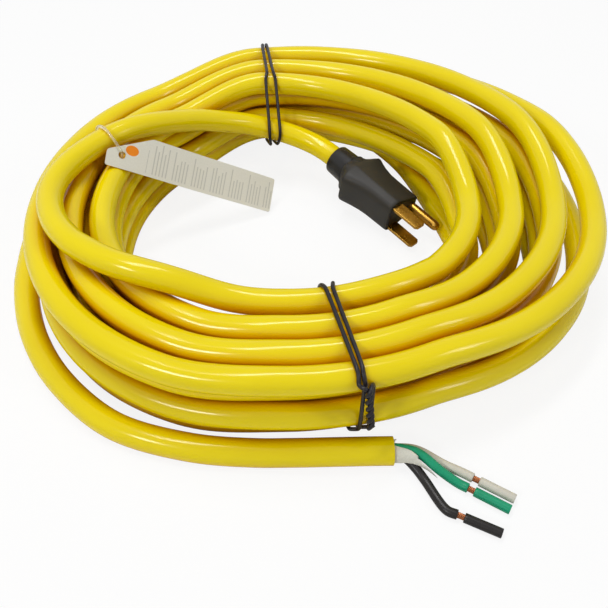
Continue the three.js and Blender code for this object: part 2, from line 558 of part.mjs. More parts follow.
// ---------------------------------------------------------------- the tag
const tagAlong = TAG_FAR_CORNER.clone().sub(TAG_CORNER).normalize();
const tagUp = TAG_UPPER_CORNER.clone().sub(TAG_FAR_CORNER);
tagUp.addScaledVector(tagAlong, -tagUp.dot(tagAlong)).normalize();
const tagOut = tagAlong.clone().cross(tagUp);
const tagFrame = new THREE.Matrix4().makeBasis(tagAlong, tagUp, tagOut).setPosition(TAG_CORNER);
const tagShape = new THREE.Shape(
  [[0, 0], [TAG_L, 0], [TAG_L, TAG_W], [TAG_CUT[0], TAG_W], [0, TAG_CUT[1]]].map(
    (p) => new THREE.Vector2(...p),
  ),
);
tagShape.holes.push(new THREE.Path().absarc(...TAG_HOLE_AT, TAG_HOLE_D / 2, 0, 2 * Math.PI, true));
const tagExtrusion = { depth: TAG_T, bevelEnabled: false, curveSegments: 10 };
const tagPlate = new THREE.ExtrudeGeometry(tagShape, tagExtrusion);
place("hang_tag", tagPlate.translate(0, 0, -TAG_T / 2).applyMatrix4(tagFrame), paint.paper);

// A closed ring of clear cord round the lead and through the tag's hole.
const hole = new THREE.Vector3(...TAG_HOLE_AT, 0).applyMatrix4(tagFrame);
const hang = leadFine.reduce((best, p) => (p.distanceTo(hole) < best.distanceTo(hole) ? p : best));
const hangIndex = leadFine.indexOf(hang);
const hangAxis = leadFine[hangIndex + 1].clone().sub(leadFine[hangIndex - 1]).normalize();
const toHole = hole.clone().sub(hang).addScaledVector(hangAxis, -hole.clone().sub(hang).dot(hangAxis));
const holeReach = toHole.length();
toHole.normalize();
const loopSide = hangAxis.clone().cross(toHole);
const LOOP_AIR = 0.4;
const loopR = CORD_R + TAG_LOOP_D / 2 + LOOP_AIR;
const loopPoint = (x, y) => hole.clone().addScaledVector(toHole, x - holeReach).addScaledVector(loopSide, y);
const LOOP_ARC = 65; // degrees either side of the hole where the ring leaves the lead
const loopPoints = [];
for (let angle = LOOP_ARC; angle <= 360 - LOOP_ARC; angle += 23)
  loopPoints.push(loopPoint(loopR * Math.cos(degrees(angle)), loopR * Math.sin(degrees(angle))));
const past = holeReach + 0.3;
const LOOP_END = [
  [0.62 * holeReach, -4.2], [past - 0.9, -2.2], [past, 0], [past - 0.9, 2.2], [0.62 * holeReach, 4.2],
];
for (const [x, y] of LOOP_END) loopPoints.push(loopPoint(x, y));
place("tag_loop", bar(loopPoints, TAG_LOOP_D / 2, 6, hangAxis, true), paint.clear);

// The origin is the middle of the underside.
group.updateMatrixWorld(true);
const box = new THREE.Box3().setFromObject(group);
const middle = box.getCenter(new THREE.Vector3());
group.position.set(-middle.x, -middle.y, -box.min.z);
group.updateMatrixWorld(true);
const size = box.getSize(new THREE.Vector3());
console.log(`origin moved by ${group.position.toArray().map((v) => v.toFixed(3))}`);
console.log(`size ${size.toArray().map((v) => v.toFixed(1))}`);
export default group;
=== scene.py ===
# %% [markdown]
# # A coiled supply cord
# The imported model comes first. It is the fixed frame: every piece below is placed in its
# coordinates, in metres, and rides on one of its bodies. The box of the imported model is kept,
# so that the finished pieces can be compared with it at the end.

import json
from math import atan2, ceil, cos, degrees, pi, radians, sin, sqrt

import bmesh
import bpy
import numpy as np
from mathutils import Matrix, Vector

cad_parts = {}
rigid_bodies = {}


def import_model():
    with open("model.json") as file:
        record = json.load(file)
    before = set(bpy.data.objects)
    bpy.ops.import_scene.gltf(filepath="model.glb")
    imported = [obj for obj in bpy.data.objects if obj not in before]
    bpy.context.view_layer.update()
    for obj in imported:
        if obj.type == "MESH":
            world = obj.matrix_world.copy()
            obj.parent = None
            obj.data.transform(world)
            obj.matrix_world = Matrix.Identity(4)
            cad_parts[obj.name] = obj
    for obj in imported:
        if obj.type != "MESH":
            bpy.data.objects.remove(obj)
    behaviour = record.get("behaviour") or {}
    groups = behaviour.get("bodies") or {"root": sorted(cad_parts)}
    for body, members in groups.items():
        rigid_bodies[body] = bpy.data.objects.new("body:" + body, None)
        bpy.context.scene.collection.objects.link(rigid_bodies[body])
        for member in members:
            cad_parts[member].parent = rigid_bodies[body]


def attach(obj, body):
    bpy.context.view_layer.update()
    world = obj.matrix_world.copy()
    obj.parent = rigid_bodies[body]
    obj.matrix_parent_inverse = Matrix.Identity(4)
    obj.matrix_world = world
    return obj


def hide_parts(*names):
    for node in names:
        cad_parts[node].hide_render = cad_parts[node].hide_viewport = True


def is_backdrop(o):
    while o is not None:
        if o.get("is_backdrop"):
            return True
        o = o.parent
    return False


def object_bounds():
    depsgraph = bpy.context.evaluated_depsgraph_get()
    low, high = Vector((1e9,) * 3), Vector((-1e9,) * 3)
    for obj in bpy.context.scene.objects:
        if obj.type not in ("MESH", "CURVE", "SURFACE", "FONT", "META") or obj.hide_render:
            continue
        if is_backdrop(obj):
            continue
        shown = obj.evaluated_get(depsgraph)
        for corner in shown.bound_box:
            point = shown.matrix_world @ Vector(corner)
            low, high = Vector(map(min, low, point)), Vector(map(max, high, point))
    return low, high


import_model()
cad_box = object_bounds()
MM = 0.001
ORIGIN = np.array([-5.166, 5.060, 0.0])  # the drawing's middle of the coil, in the model's frame


def in_frame(points):
    """Millimetres of the drawing as metres in the model's frame."""
    return (np.asarray(points, float) + ORIGIN) * MM


# %% [markdown]
# ## Small helpers for node trees
# Materials and Geometry Nodes are both trees of nodes. One function adds a node, sets it up and
# links it. Another turns the hex colours of a paint chart into the linear values that Blender
# works in. Most surfaces here are patches of two shades, whose gloss and relief follow the
# patches, so two more functions make those.


# %% Helpers for node trees
def linear(code):
    """An sRGB hex colour as linear red, green and blue, and full alpha."""
    channels = [int(code[i : i + 2], 16) / 255 for i in (1, 3, 5)]
    return [c / 12.92 if c <= 0.04045 else ((c + 0.055) / 1.055) ** 2.4 for c in channels] + [1.0]


def add(tree, kind, inputs=None, **settings):
    """A node with its settings. An input takes a value, a socket or a node's first output."""
    made = tree.nodes.new(kind)
    for name, value in settings.items():
        setattr(made, name, value)
    for name, value in (inputs or {}).items():
        if isinstance(value, bpy.types.Node):
            value = value.outputs[0]
        if isinstance(value, bpy.types.NodeSocket):
            tree.links.new(value, made.inputs[name])
        else:
            made.inputs[name].default_value = value
    return made


def new_material(name):
    material = bpy.data.materials.new(name)
    material.use_nodes = True
    material.node_tree.nodes.clear()
    return material, material.node_tree


# %% Helpers for surfaces
PER_METRE = 1 / MM  # patterns are sized in millimetres, and the pieces are in metres
# The room is white all round, which would veil every strong colour. The gloss of what isn't
# metal is held back, and the small bright lamps still draw their lines on it.
GLOSS = {"Specular IOR Level": 0.25}
VINYL, PAPER, METAL = {"IOR": 1.53, **GLOSS}, {"IOR": 1.45, **GLOSS}, {"Metallic": 1.0}


def mottled(tree, where, patch, detail, dark, light):
    """Patches of so many millimetres: how far each is from dark to light, and its colour."""
    noise = {"Vector": where, "Scale": PER_METRE / patch, "Detail": detail}
    shade = add(tree, "ShaderNodeTexNoise", noise)
    shades = {0: shade, 6: linear(dark), 7: linear(light)}
    return shade, add(tree, "ShaderNodeMix", shades, data_type="RGBA").outputs[2]


def finish_surface(tree, tint, rough, substance, relief=None):
    """Roughness is one number, or a shade and two. Relief is a height, a strength and a depth."""
    if isinstance(rough, tuple):
        span = dict(zip(("Value", "To Min", "To Max"), rough))
        rough = add(tree, "ShaderNodeMapRange", span)
    inputs = {"Base Color": tint, "Roughness": rough, **substance}
    if relief:
        bump = dict(zip(("Height", "Strength", "Distance"), relief))
        inputs["Normal"] = add(tree, "ShaderNodeBump", bump)
    shader = add(tree, "ShaderNodeBsdfPrincipled", inputs)
    add(tree, "ShaderNodeOutputMaterial", {"Surface": shader})


# %% [markdown]
# ## Camera, light and floor
# The photograph looks down at about 46 degrees from in front of the cut end. The camera's
# place and lens were worked out from the loops of the coil. The room and the floor are plain
# and white. More light would make them white too, but it would bleach the cord. Here the rays
# are told apart instead: what is seen and what is mirrored is white, and the light on the cord
# is dimmer. Small lamps above give the thin bright lines that run along glossy vinyl.

# %% Camera
FOCAL_PIXELS, FRAME_PIXELS = 694, 608  # both as counted on the photograph
SENSOR = 36
CAMERA_AT = in_frame([6.7, -250.8, 229.1])
CAMERA_DOWN = 46.42
camera = bpy.data.objects.new("camera", bpy.data.cameras.new("camera"))
bpy.context.collection.objects.link(camera)
camera.location = CAMERA_AT
camera.rotation_euler = (radians(90 - CAMERA_DOWN), 0, 0)
camera.data.sensor_width = SENSOR
camera.data.lens = SENSOR * FOCAL_PIXELS / FRAME_PIXELS
camera.data.clip_start = 0.01
bpy.context.scene.camera = camera
bpy.context.scene.view_settings.view_transform = "Standard"
print("camera at", [round(float(v), 4) for v in CAMERA_AT], "lens", round(camera.data.lens, 2))

# %% Lamps
# Each lamp's place, its length and width, in metres, and its power in watts.
LAMPS = {
    "overhead": ((-0.15, 0.15, 1.0), (0.7, 0.12), 5.1),
    "front left": ((-0.7, -0.75, 0.75), (0.18, 0.18), 3.45),
    "right": ((0.8, -0.4, 0.7), (0.14, 0.36), 1.85),
}
for name, (at, size, power) in LAMPS.items():
    lamp = bpy.data.objects.new(name, bpy.data.lights.new(name, "AREA"))
    bpy.context.collection.objects.link(lamp)
    lamp.data.shape = "RECTANGLE"
    lamp.data.size, lamp.data.size_y = size
    lamp.data.energy = power
    lamp.location = at
    lamp.rotation_euler = (-Vector(at)).to_track_quat("-Z", "Y").to_euler()
print("lamps:", len(LAMPS))

# %% World
BACKGROUND = 1.0  # what is seen round the object, and in what it mirrors
AMBIENT = 0.27  # what lights the object
WHITE = (1, 1, 1, 1)
world = bpy.data.worlds.new("studio")
bpy.context.scene.world = world
world.use_nodes = True
tree = world.node_tree
tree.nodes.clear()


def seen_by(tree, *kinds):
    """1 for rays from the camera and these other kinds, 0 for those that light the object."""
    rays = add(tree, "ShaderNodeLightPath").outputs
    seen = rays["Is Camera Ray"]
    for kind in kinds:
        seen = add(tree, "ShaderNodeMath", {0: seen, 1: rays[kind]}, operation="MAXIMUM")
    return seen


ambient = add(tree, "ShaderNodeBackground", {"Color": WHITE, "Strength": AMBIENT})
backdrop = add(tree, "ShaderNodeBackground", {"Color": WHITE, "Strength": BACKGROUND})
white_for = seen_by(tree, "Is Glossy Ray", "Is Transmission Ray")
mixed = add(tree, "ShaderNodeMixShader", {0: white_for, 1: ambient, 2: backdrop})
add(tree, "ShaderNodeOutputWorld", {"Surface": mixed})

# %% Floor
CARD_SHADE = (0.92, 0.92, 0.92, 1)
GLOW_SHARE = 0.87  # the rest of the card still takes the object's shadow
FLOOR_REACH, FLOOR_UNDER = 6.0, 0.0003  # metres to each side, and below the object
card, tree = new_material("white card")
matt = add(tree, "ShaderNodeBsdfDiffuse", {"Color": CARD_SHADE})
glow = add(tree, "ShaderNodeEmission", {"Color": WHITE, "Strength": BACKGROUND})
# What mirrors the card sees it as it is lit, white in the open and dark under the loops.
glows_for = seen_by(tree, "Is Transmission Ray")
share = add(tree, "ShaderNodeMath", {0: glows_for, 1: GLOW_SHARE}, operation="MULTIPLY")
both = add(tree, "ShaderNodeMixShader", {0: share, 1: matt, 2: glow})
add(tree, "ShaderNodeOutputMaterial", {"Surface": both})
corners = [(x * FLOOR_REACH, y * FLOOR_REACH) for x, y in ((-1, -1), (1, -1), (1, 1), (-1, 1))]
floor_mesh = bpy.data.meshes.new("floor")
floor_mesh.from_pydata([(x, y, -FLOOR_UNDER) for x, y in corners], [], [(0, 1, 2, 3)])
floor = bpy.data.objects.new("floor", floor_mesh)
floor_mesh.materials.append(card)
bpy.context.collection.objects.link(floor)
floor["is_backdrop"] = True
print("floor:", 2 * FLOOR_REACH, "m wide")

# %% [markdown]
# ## The route of the cord
# The coil is four layers of three loops. It spirals out and in again from the top layer to the
# bottom one, is drawn in tight at the two ties and fans out on the right between them. The lead
# to the plug lies on top, and the tail passes under the lifted coil and round it on the floor.
# The loops follow a rule, so they are worked out. The two ends are listed as points at an angle
# round the coil, a distance out from its innermost loop and, off the floor, a height.

# %% The coil's rule
CORD_D = 10.9
CORD_R = CORD_D / 2
FLAT = CORD_D / 10  # the loops that carry the others are pressed flat by this much
FLOOR_Z = CORD_R - FLAT
LAYERS, LOOPS = 4, 3
INNER_R, PITCH = 76, 11.8
FAN, FAN_ANGLE, LEFT = 9, 30, 1.7  # what the pitch gains on the right, at what angle, and left
SHARP = 1.5  # how sharply it gains that
OVAL = ((2, 0.4, -2.9), (3, 2.0, -2.0))  # waves in a turn, each with a cosine's and a sine's height
NEST, LAYER_GAP = 0.46, 0.6  # the layers nest by a share of the pitch, and keep a gap
CHANGE = 0.25  # the cord changes layer in twice this much of a turn
COIL_START, COIL_END = -0.25, LAYERS * LOOPS - 1 / 12
REAR_TIE_ANGLE, FRONT_TIE_ANGLE = 98, 284
# Where the coil is lifted: a middle angle, half a width, a ramp to each side, and the height.
LIFTS = ((62, 38, 32, CORD_D + 0.5), (FRONT_TIE_ANGLE, 14, 24, 3.8))


def smooth_step(t):
    t = min(max(t, 0), 1)
    return t * t * (3 - 2 * t)


def rise_near(angle, middle, half_width, ramp):
    off = abs((angle - middle + 180) % 360 - 180)
    return smooth_step((half_width + ramp - off) / ramp)


def coil_point(s):
    """Middle of the cord after s turns from the right-hand side."""
    a = 2 * pi * s
    phase = max(s, 0) % (2 * LOOPS)
    across = 1.5 * s if s < 0 else min(phase, 2 * LOOPS - phase)
    changes = [smooth_step((s - turn * LOOPS + CHANGE) / (2 * CHANGE)) for turn in range(1, LAYERS)]
    layer = LAYERS - 1 - sum(changes)
    right, left = max(cos(a - radians(FAN_ANGLE)), 0), max(-cos(a), 0)
    pitch = PITCH + FAN * right**SHARP + LEFT * left**SHARP
    oval = sum(c * cos(waves * a) + d * sin(waves * a) for waves, c, d in OVAL)
    r = INNER_R + oval + across * pitch
    sunk = NEST * PITCH * sin(a) ** 2
    rise = sqrt((CORD_D + LAYER_GAP) ** 2 - sunk**2)
    ride = sum(height * rise_near(degrees(a), *where) for *where, height in LIFTS)
    return np.array([r * cos(a), r * sin(a), FLOOR_Z + layer * rise + ride])


def unit(v):
    return v / np.linalg.norm(v)


def heading(s):
    return unit(coil_point(s + 1e-3) - coil_point(s - 1e-3))


def spot(angle, out, height=FLOOR_Z):
    r = INNER_R + out
    return np.array([r * cos(radians(angle)), r * sin(radians(angle)), height])


COIL_POINTS = 4674  # one to about 1.6 mm
coil = np.array([coil_point(s) for s in np.linspace(COIL_START, COIL_END, COIL_POINTS)])
print("coil of", round(COIL_END - COIL_START, 2), "turns")

# %% The places of the lead and the tail
PLUG_L, RELIEF_L = 46.6, 20
PLUG_NOSE = spot(18.3, -18.8, 12.3)  # middle of the face
PLUG_AXIS = unit(PLUG_NOSE - spot(65.6, -18.8, 20))
PLUG_TAIL = PLUG_NOSE - PLUG_AXIS * PLUG_L
LEAD_PLACES = [
    (75.8, -14.3, 22), (85.7, -10.7, 24.3), (95.3, -8.1, 27), (102.9, -6.7, 29.5),
    (110.7, -5.4, 32.5), (120.3, -4.7, 36.5), (129.7, -3.9, 40.8), (138.4, -3.1, 44.6),
    (148.7, 0.1, 48.6), (157.1, 4.9, 50.8), (163.8, 10, 51), (170.8, 15.2, 51),
    (177.9, 20.1, 50.8), (184.9, 23.7, 50.5), (191.8, 24.9, 50.4), (199.9, 23.8, 50.4),
    (207.9, 20.8, 50.4), (215.5, 16.7, 50), (222.4, 12.1, 49.6), (228.7, 7.3, 49.2),
    (234.8, 2.9, 47.6), (241, -1.4, 44.2), (247.8, -4.7, 40.1),
]
TAIL_PLACES = [
    (349, 8), (358, 6), (10, 3.9), (23.9, 4.7), (36, 9), (48, 16.5), (60, 25.5), (71, 35),
    (81.8, 43.8), (91, 50.6), (99.9, 55.6), (109.7, 56.1), (121.6, 53.4), (134.7, 50.6), (148, 49),
    (161, 49), (175, 49.1), (184.2, 47.7), (193.7, 46.9), (207.5, 46.3), (221.2, 45.7),
    (236.2, 45), (251.2, 40.8), (263.9, 37.8), (271.5, 37.6, CORD_R - FLAT / 2),
    (278.5, 38.8, CORD_R + 0.1), (284.1, 40.8, CORD_R + 0.1), (289.3, 43.9, CORD_R + 0.1),
]
print("places:", len(LEAD_PLACES), "for the lead,", len(TAIL_PLACES), "for the tail")


# %% A smooth line through places
def between(knots, i, j, t, start, stop):
    """The point at t, on the way from start, at knot i, to stop, at knot j."""
    return ((knots[j] - t) * start + (t - knots[i]) * stop) / (knots[j] - knots[i])


def through(points, per_span):
    """A smooth line through the points, with per_span steps between neighbours."""
    points = np.asarray(points, float)
    padded = np.vstack([2 * points[0] - points[1], points, 2 * points[-1] - points[-2]])
    line = []
    for i in range(len(points) - 1):
        p = padded[i : i + 4]
        gaps = np.sqrt(np.linalg.norm(np.diff(p, axis=0), axis=1))
        knots = np.concatenate([[0], np.cumsum(gaps)])
        for t in np.linspace(knots[1], knots[2], per_span, endpoint=False):
            a = [between(knots, k, k + 1, t, p[k], p[k + 1]) for k in range(3)]
            b = [between(knots, k, k + 2, t, a[k], a[k + 1]) for k in range(2)]
            line.append(between(knots, 1, 2, t, *b))
    return np.array(line + [points[-1]])


def steps_of(path):
    return np.linalg.norm(np.diff(path, axis=0), axis=1)


def even(path, step):
    along = np.concatenate([[0], np.cumsum(steps_of(path))])
    wanted = np.linspace(0, along[-1], max(2, ceil(along[-1] / step) + 1))
    return np.column_stack([np.interp(wanted, along, path[:, k]) for k in range(3)])


# %% The whole route
CLEARANCE = 0.3  # what two pieces that meet keep between them
PER_SPAN, RING_STEP = 16, 3.0
start_way, end_way = heading(COIL_START), heading(COIL_END)
coil_first = coil_point(COIL_START) - start_way * CORD_D
coil_last = coil_point(COIL_END) + end_way * CORD_D
lead_end, tail_start = coil_first - start_way * CLEARANCE, coil_last + end_way * CLEARANCE
lead_route = [PLUG_TAIL + PLUG_AXIS * run for run in (RELIEF_L - CLEARANCE, RELIEF_L / 2, 0)]
lead_route += [spot(*place) for place in LEAD_PLACES] + [lead_end - start_way * CORD_R, lead_end]
tail_route = [tail_start, tail_start + end_way * CORD_R] + [spot(*place) for place in TAIL_PLACES]
lead, tail = through(lead_route, PER_SPAN), through(tail_route, PER_SPAN)
route = even(np.vstack([lead, [coil_first], coil, [coil_last], tail]), RING_STEP)
route[-1] = tail[-1]

# A real cord bends evenly, so the two joins are eased over a short stretch.
EASED, EASINGS = 25, 18  # rings to each side, and how many times the line is averaged
for join in (steps_of(lead).sum(), steps_of(lead).sum() + steps_of(coil).sum() + 2 * CORD_D):
    low, high = round(join / RING_STEP) - EASED, round(join / RING_STEP) + EASED
    for _ in range(EASINGS):
        beside = route[low - 1 : high - 1] + route[low + 1 : high + 1]
        route[low:high] += (beside - 2 * route[low:high]) / 4

# %% [markdown]
# ## A round bar along a path
# Cord and tie wire are both a round bar that follows a path. Geometry Nodes can sweep a circle
# along a line of points, so one tree makes them all. Its sizes are named inputs. It also leaves
# low lobes that wind round the bar, presses the underside flat on the floor, and stores where
# each point lies on the skin: two numbers round the bar and one along it. A pattern that reads
# those three has no seam.


# %% The tree that sweeps a bar
def new_growth(name, sizes):
    tree = bpy.data.node_groups.new(name, "GeometryNodeTree")
    tree.interface.new_socket("Geometry", in_out="INPUT", socket_type="NodeSocketGeometry")
    for label, kind in {**sizes, "Material": "Material"}.items():
        tree.interface.new_socket(label, in_out="INPUT", socket_type="NodeSocket" + kind)
    tree.interface.new_socket("Geometry", in_out="OUTPUT", socket_type="NodeSocketGeometry")
    return tree, add(tree, "NodeGroupInput").outputs


def end_growth(tree, geometry, given):
    smooth = add(tree, "GeometryNodeSetShadeSmooth", {0: geometry})
    plain = add(tree, "GeometryNodeRealizeInstances", {"Geometry": smooth})
    coated = {"Geometry": plain, "Material": given["Material"]}
    add(tree, "NodeGroupOutput", {0: add(tree, "GeometryNodeSetMaterial", coated)})


def hold(tree, geometry, value, label):
    """Keeps a number on the points, because the sweep makes new points."""
    held = add(tree, "GeometryNodeCaptureAttribute", {"Geometry": geometry})
    held.capture_items.new("FLOAT", label)
    tree.links.new(value, held.inputs[label])
    return held.outputs["Geometry"], held.outputs[label]


SIZES = {"Diameter": "Float", "Sides": "Int", "Lobe height": "Float", "Lay length": "Float"}
sweep, given = new_growth("round bar along a path", SIZES)
line = add(sweep, "GeometryNodeMeshToCurve", {"Mesh": given["Geometry"]})
thin = add(sweep, "GeometryNodeInputNamedAttribute", {"Name": "thinning"}, data_type="FLOAT")
line = add(sweep, "GeometryNodeSetCurveRadius", {"Curve": line, "Radius": thin})
run = add(sweep, "GeometryNodeSplineParameter").outputs["Length"]
line, along = hold(sweep, line, run, "along")
radius = add(sweep, "ShaderNodeMath", {0: given["Diameter"], 1: 0.5}, operation="MULTIPLY")
edge = {"Resolution": given["Sides"], "Radius": radius}
ring = add(sweep, "GeometryNodeCurvePrimitiveCircle", edge)
turn = add(sweep, "GeometryNodeSplineParameter").outputs["Factor"]
ring, around = hold(sweep, ring, turn, "around")
bar = {"Curve": line, "Profile Curve": ring, "Fill Caps": True}
skin = add(sweep, "GeometryNodeCurveToMesh", bar)

# %% Lobes, and the floor under the bar
CONDUCTORS = 3  # the jacket over them has as many lobes
wound = add(sweep, "ShaderNodeMath", {0: along, 1: given["Lay length"]}, operation="DIVIDE")
turns = add(sweep, "ShaderNodeMath", {0: around, 1: wound}, operation="SUBTRACT")
lobes = add(sweep, "ShaderNodeMath", {0: turns, 1: CONDUCTORS * 2 * pi}, operation="MULTIPLY")
wave = add(sweep, "ShaderNodeMath", {0: lobes}, operation="COSINE")
below = add(sweep, "ShaderNodeMath", {0: wave, 1: 1.0}, operation="SUBTRACT")
depth = add(sweep, "ShaderNodeMath", {0: below, 1: given["Lobe height"]}, operation="MULTIPLY")
outward = add(sweep, "GeometryNodeInputNormal")
shift = add(sweep, "ShaderNodeVectorMath", {0: outward, "Scale": depth}, operation="SCALE")
skin = add(sweep, "GeometryNodeSetPosition", {"Geometry": skin, "Offset": shift})
NOT_BELOW = (-10, -10, 0)  # only the height has a limit here
place = add(sweep, "GeometryNodeInputPosition")
pressed = add(sweep, "ShaderNodeVectorMath", {0: place, 1: NOT_BELOW}, operation="MAXIMUM")
skin = add(sweep, "GeometryNodeSetPosition", {"Geometry": skin, "Position": pressed})

# %% The place on the skin
angle = add(sweep, "ShaderNodeMath", {0: around, 1: 2 * pi}, operation="MULTIPLY")
cosine = add(sweep, "ShaderNodeMath", {0: angle}, operation="COSINE")
sine = add(sweep, "ShaderNodeMath", {0: angle}, operation="SINE")
across = add(sweep, "ShaderNodeMath", {0: cosine, 1: radius}, operation="MULTIPLY")
up = add(sweep, "ShaderNodeMath", {0: sine, 1: radius}, operation="MULTIPLY")
lie = add(sweep, "ShaderNodeCombineXYZ", {0: across, 1: up, 2: along})
stored = {"Geometry": skin, "Name": "lie", "Value": lie}
skin = add(sweep, "GeometryNodeStoreNamedAttribute", stored, data_type="FLOAT_VECTOR")
end_growth(sweep, skin, given)
print("sweep tree:", len(sweep.nodes), "nodes")


# %% From a path to a plain mesh
def linked(name, mesh):
    made = bpy.data.objects.new(name, mesh)
    bpy.context.collection.objects.link(made)
    return made


def settle(made):
    """Keeps what the modifiers make as a plain mesh, and removes them."""
    seen = made.evaluated_get(bpy.context.evaluated_depsgraph_get())
    plain = bpy.data.meshes.new_from_object(seen)
    made.modifiers.clear()
    made.data = plain
    return made


def face_out(made):
    mesh = bmesh.new()
    mesh.from_mesh(made.data)
    bmesh.ops.recalc_face_normals(mesh, faces=mesh.faces)
    mesh.to_mesh(made.data)
    mesh.free()


def grow(name, tree, sizes, path, closed=False, thinning=None):
    """Runs a tree on a line of points."""
    n = len(path)
    edges = [(i, (i + 1) % n) for i in range(n if closed else n - 1)]
    mesh = bpy.data.meshes.new(name)
    mesh.from_pydata(in_frame(path).tolist(), edges, [])
    widths = mesh.attributes.new("thinning", "FLOAT", "POINT")
    widths.data.foreach_set("value", np.ones(n) if thinning is None else thinning)
    made = linked(name, mesh)
    growth = made.modifiers.new("growth", "NODES")
    growth.node_group = tree
    for item in tree.interface.items_tree:
        if item.in_out == "INPUT" and item.name in sizes:
            growth[item.identifier] = sizes[item.name]
    return settle(made)


def placed(made, body, replaced):
    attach(made, body)
    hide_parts(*replaced)
    return made


# %% [markdown]
# ## The jacket
# The jacket is one skin of extruded vinyl from the plug to the cut end. The three conductors
# are laid in a long spiral inside it, so it has three very low lobes that turn along the cord.
# Vinyl comes out of the die glossy, with faint lines along it. Between two loops the yellow is
# mixed to a dark orange: painted shade, for the orange light that bounces between the loops.

# %% The jacket's vinyl
yellow_vinyl, tree = new_material("extruded vinyl jacket, yellow")
lie = add(tree, "ShaderNodeAttribute", attribute_name="lie").outputs["Vector"]
HANDLED_PATCH = 100 / 3  # millimetres, about as wide as two fingers
handled, tint = mottled(tree, lie, HANDLED_PATCH, 3.0, "#F5E002", "#ECD301")
# Die lines are about 0.05 mm apart. They are drawn at 0.5 mm, so that they show.
LINE_APART, LINE_SHORTENED = 0.5, 0.012
along_it = {0: lie, 1: (1, 1, LINE_SHORTENED)}
stretched = add(tree, "ShaderNodeVectorMath", along_it, operation="MULTIPLY")
lines = {"Vector": stretched, "Scale": PER_METRE / LINE_APART, "Detail": 2.0}
die_lines = add(tree, "ShaderNodeTexNoise", lines)
# Painted shade: the closer the other loops are, the more the yellow is mixed to a dark orange.
open_air = add(tree, "ShaderNodeAmbientOcclusion", {"Distance": 9 * MM}, samples=6).outputs["AO"]
SHUT_IN = {"From Min": 0.15, "From Max": 0.92, "To Min": 0.9, "To Max": 0.0}
painted_shade = add(tree, "ShaderNodeMapRange", {"Value": open_air, **SHUT_IN})
orange = {0: painted_shade, 6: tint, 7: linear("#D89200")}
tint = add(tree, "ShaderNodeMix", orange, data_type="RGBA").outputs[2]
finish_surface(tree, tint, (handled, 0.12, 0.22), VINYL, (die_lines, 0.12, 0.05 * MM))

# %% The jacket's skin and its cut end
LOBE, LAY = 0.045, 118.0
BORE_R, BORE_L = 4.7, 22
WALL = CORD_R - BORE_R
bar = {"Diameter": CORD_D * MM, "Sides": 26, "Lobe height": LOBE * MM, "Lay length": LAY * MM}
jacket = grow("jacket", sweep, {**bar, "Material": yellow_vinyl}, route)
mesh = bmesh.new()
mesh.from_mesh(jacket.data)
cut_at = Vector(in_frame(route[-1]))
caps = [face for face in mesh.faces if len(face.verts) > 4]
cap = min(caps, key=lambda f: (f.calc_center_median() - cut_at).length)
# The cut face, with both its edges broken, and then the bore: steps inwards and forwards.
CUT = ((0.12, 0.1), (WALL - 0.3, 0), (0.1, -0.1), (0.08, -0.6), (0, 0.6 - BORE_L))
for inwards, forwards in CUT:
    step = {"thickness": inwards * MM, "depth": forwards * MM, "use_even_offset": True}
    bmesh.ops.inset_individual(mesh, faces=[cap], **step)
mesh.to_mesh(jacket.data)
mesh.free()
placed(jacket, "cord", ("cord_lead", "cord_coil", "cord_tail"))
print("jacket:", len(jacket.data.polygons), "faces, wall", round(WALL, 2), "mm")

# %% [markdown]
# ## The moulded plug
# The plug is moulded round the ends of the conductors. Its outline is flat on the side of the
# blades and narrows towards the ground pin, so that a hand can feel which way up it is. Two
# wings at the back are for the fingers, with a slope down to the collar. The body is lofted:
# every section has six corners of as many points each, so the skin between them stays even.
# The same skin goes on inside, as the pocket of the pin block and the space of the wires.

# %% The plug's own frame, and a loft in it
PLUG_WIDE = unit(np.array([-PLUG_AXIS[1], PLUG_AXIS[0], 0]))
PLUG_HIGH = np.cross(PLUG_AXIS, PLUG_WIDE)
BODY_L = PLUG_L - 11


def in_plug(points):
    return PLUG_NOSE + np.asarray(points, float) @ np.array([PLUG_WIDE, PLUG_HIGH, PLUG_AXIS])


def strips(rings, sides, closed=False):
    """Faces that join each ring to the next, with both ends filled if it doesn't close."""
    faces = []
    for i in range(rings if closed else rings - 1):
        here, there = i * sides, (i + 1) % rings * sides
        for k in range(sides):
            beside = (k + 1) % sides
            faces.append((here + k, here + beside, there + beside, there + k))
    if not closed:
        last = (rings - 1) * sides
        faces += [tuple(reversed(range(sides))), tuple(range(last, last + sides))]
    return faces


def plain_object(name, points, faces, material):
    mesh = bpy.data.meshes.new(name)
    mesh.from_pydata(in_frame(points).tolist(), [], faces)
    mesh.materials.append(material)
    mesh.polygons.foreach_set("use_smooth", [True] * len(faces))
    made = linked(name, mesh)
    face_out(made)
    return made


def loft(name, rings, material, closed=False):
    faces = strips(len(rings), len(rings[0]), closed)
    return plain_object(name, in_plug(np.vstack(rings)), faces, material)


# %% Sections of the plug
CORNER_POINTS = 9
RIDGE_AT, NEAR_SHARE, NEAR_ROUNDING = -4.2, 0.84, 4


def six_corners(near, far, half, far_half, cut, z):
    """A section: flat on the blades' side (near), widest at the ridges, narrow on the far side."""
    near_half = NEAR_SHARE * half
    corners = [(-near, -near_half), (RIDGE_AT, -half), (far, -far_half)]
    corners = np.array([*corners, (far, far_half), (RIDGE_AT, half), (-near, near_half)], float)
    ring = []
    for k, corner in enumerate(corners):
        before, after = corners[k - 1] - corner, corners[(k + 1) % 6] - corner
        rounding = cut * (NEAR_ROUNDING if k in (0, 5) else 1)
        # A rounding takes up less than half of a side.
        start = corner + before * min(rounding / np.linalg.norm(before), 0.49)
        stop = corner + after * min(rounding / np.linalg.norm(after), 0.49)
        for t in np.linspace(0, 1, CORNER_POINTS):
            x, y = (1 - t) ** 2 * start + 2 * t * (1 - t) * corner + t * t * stop
            ring.append((x, y, z))
    return np.array(ring)


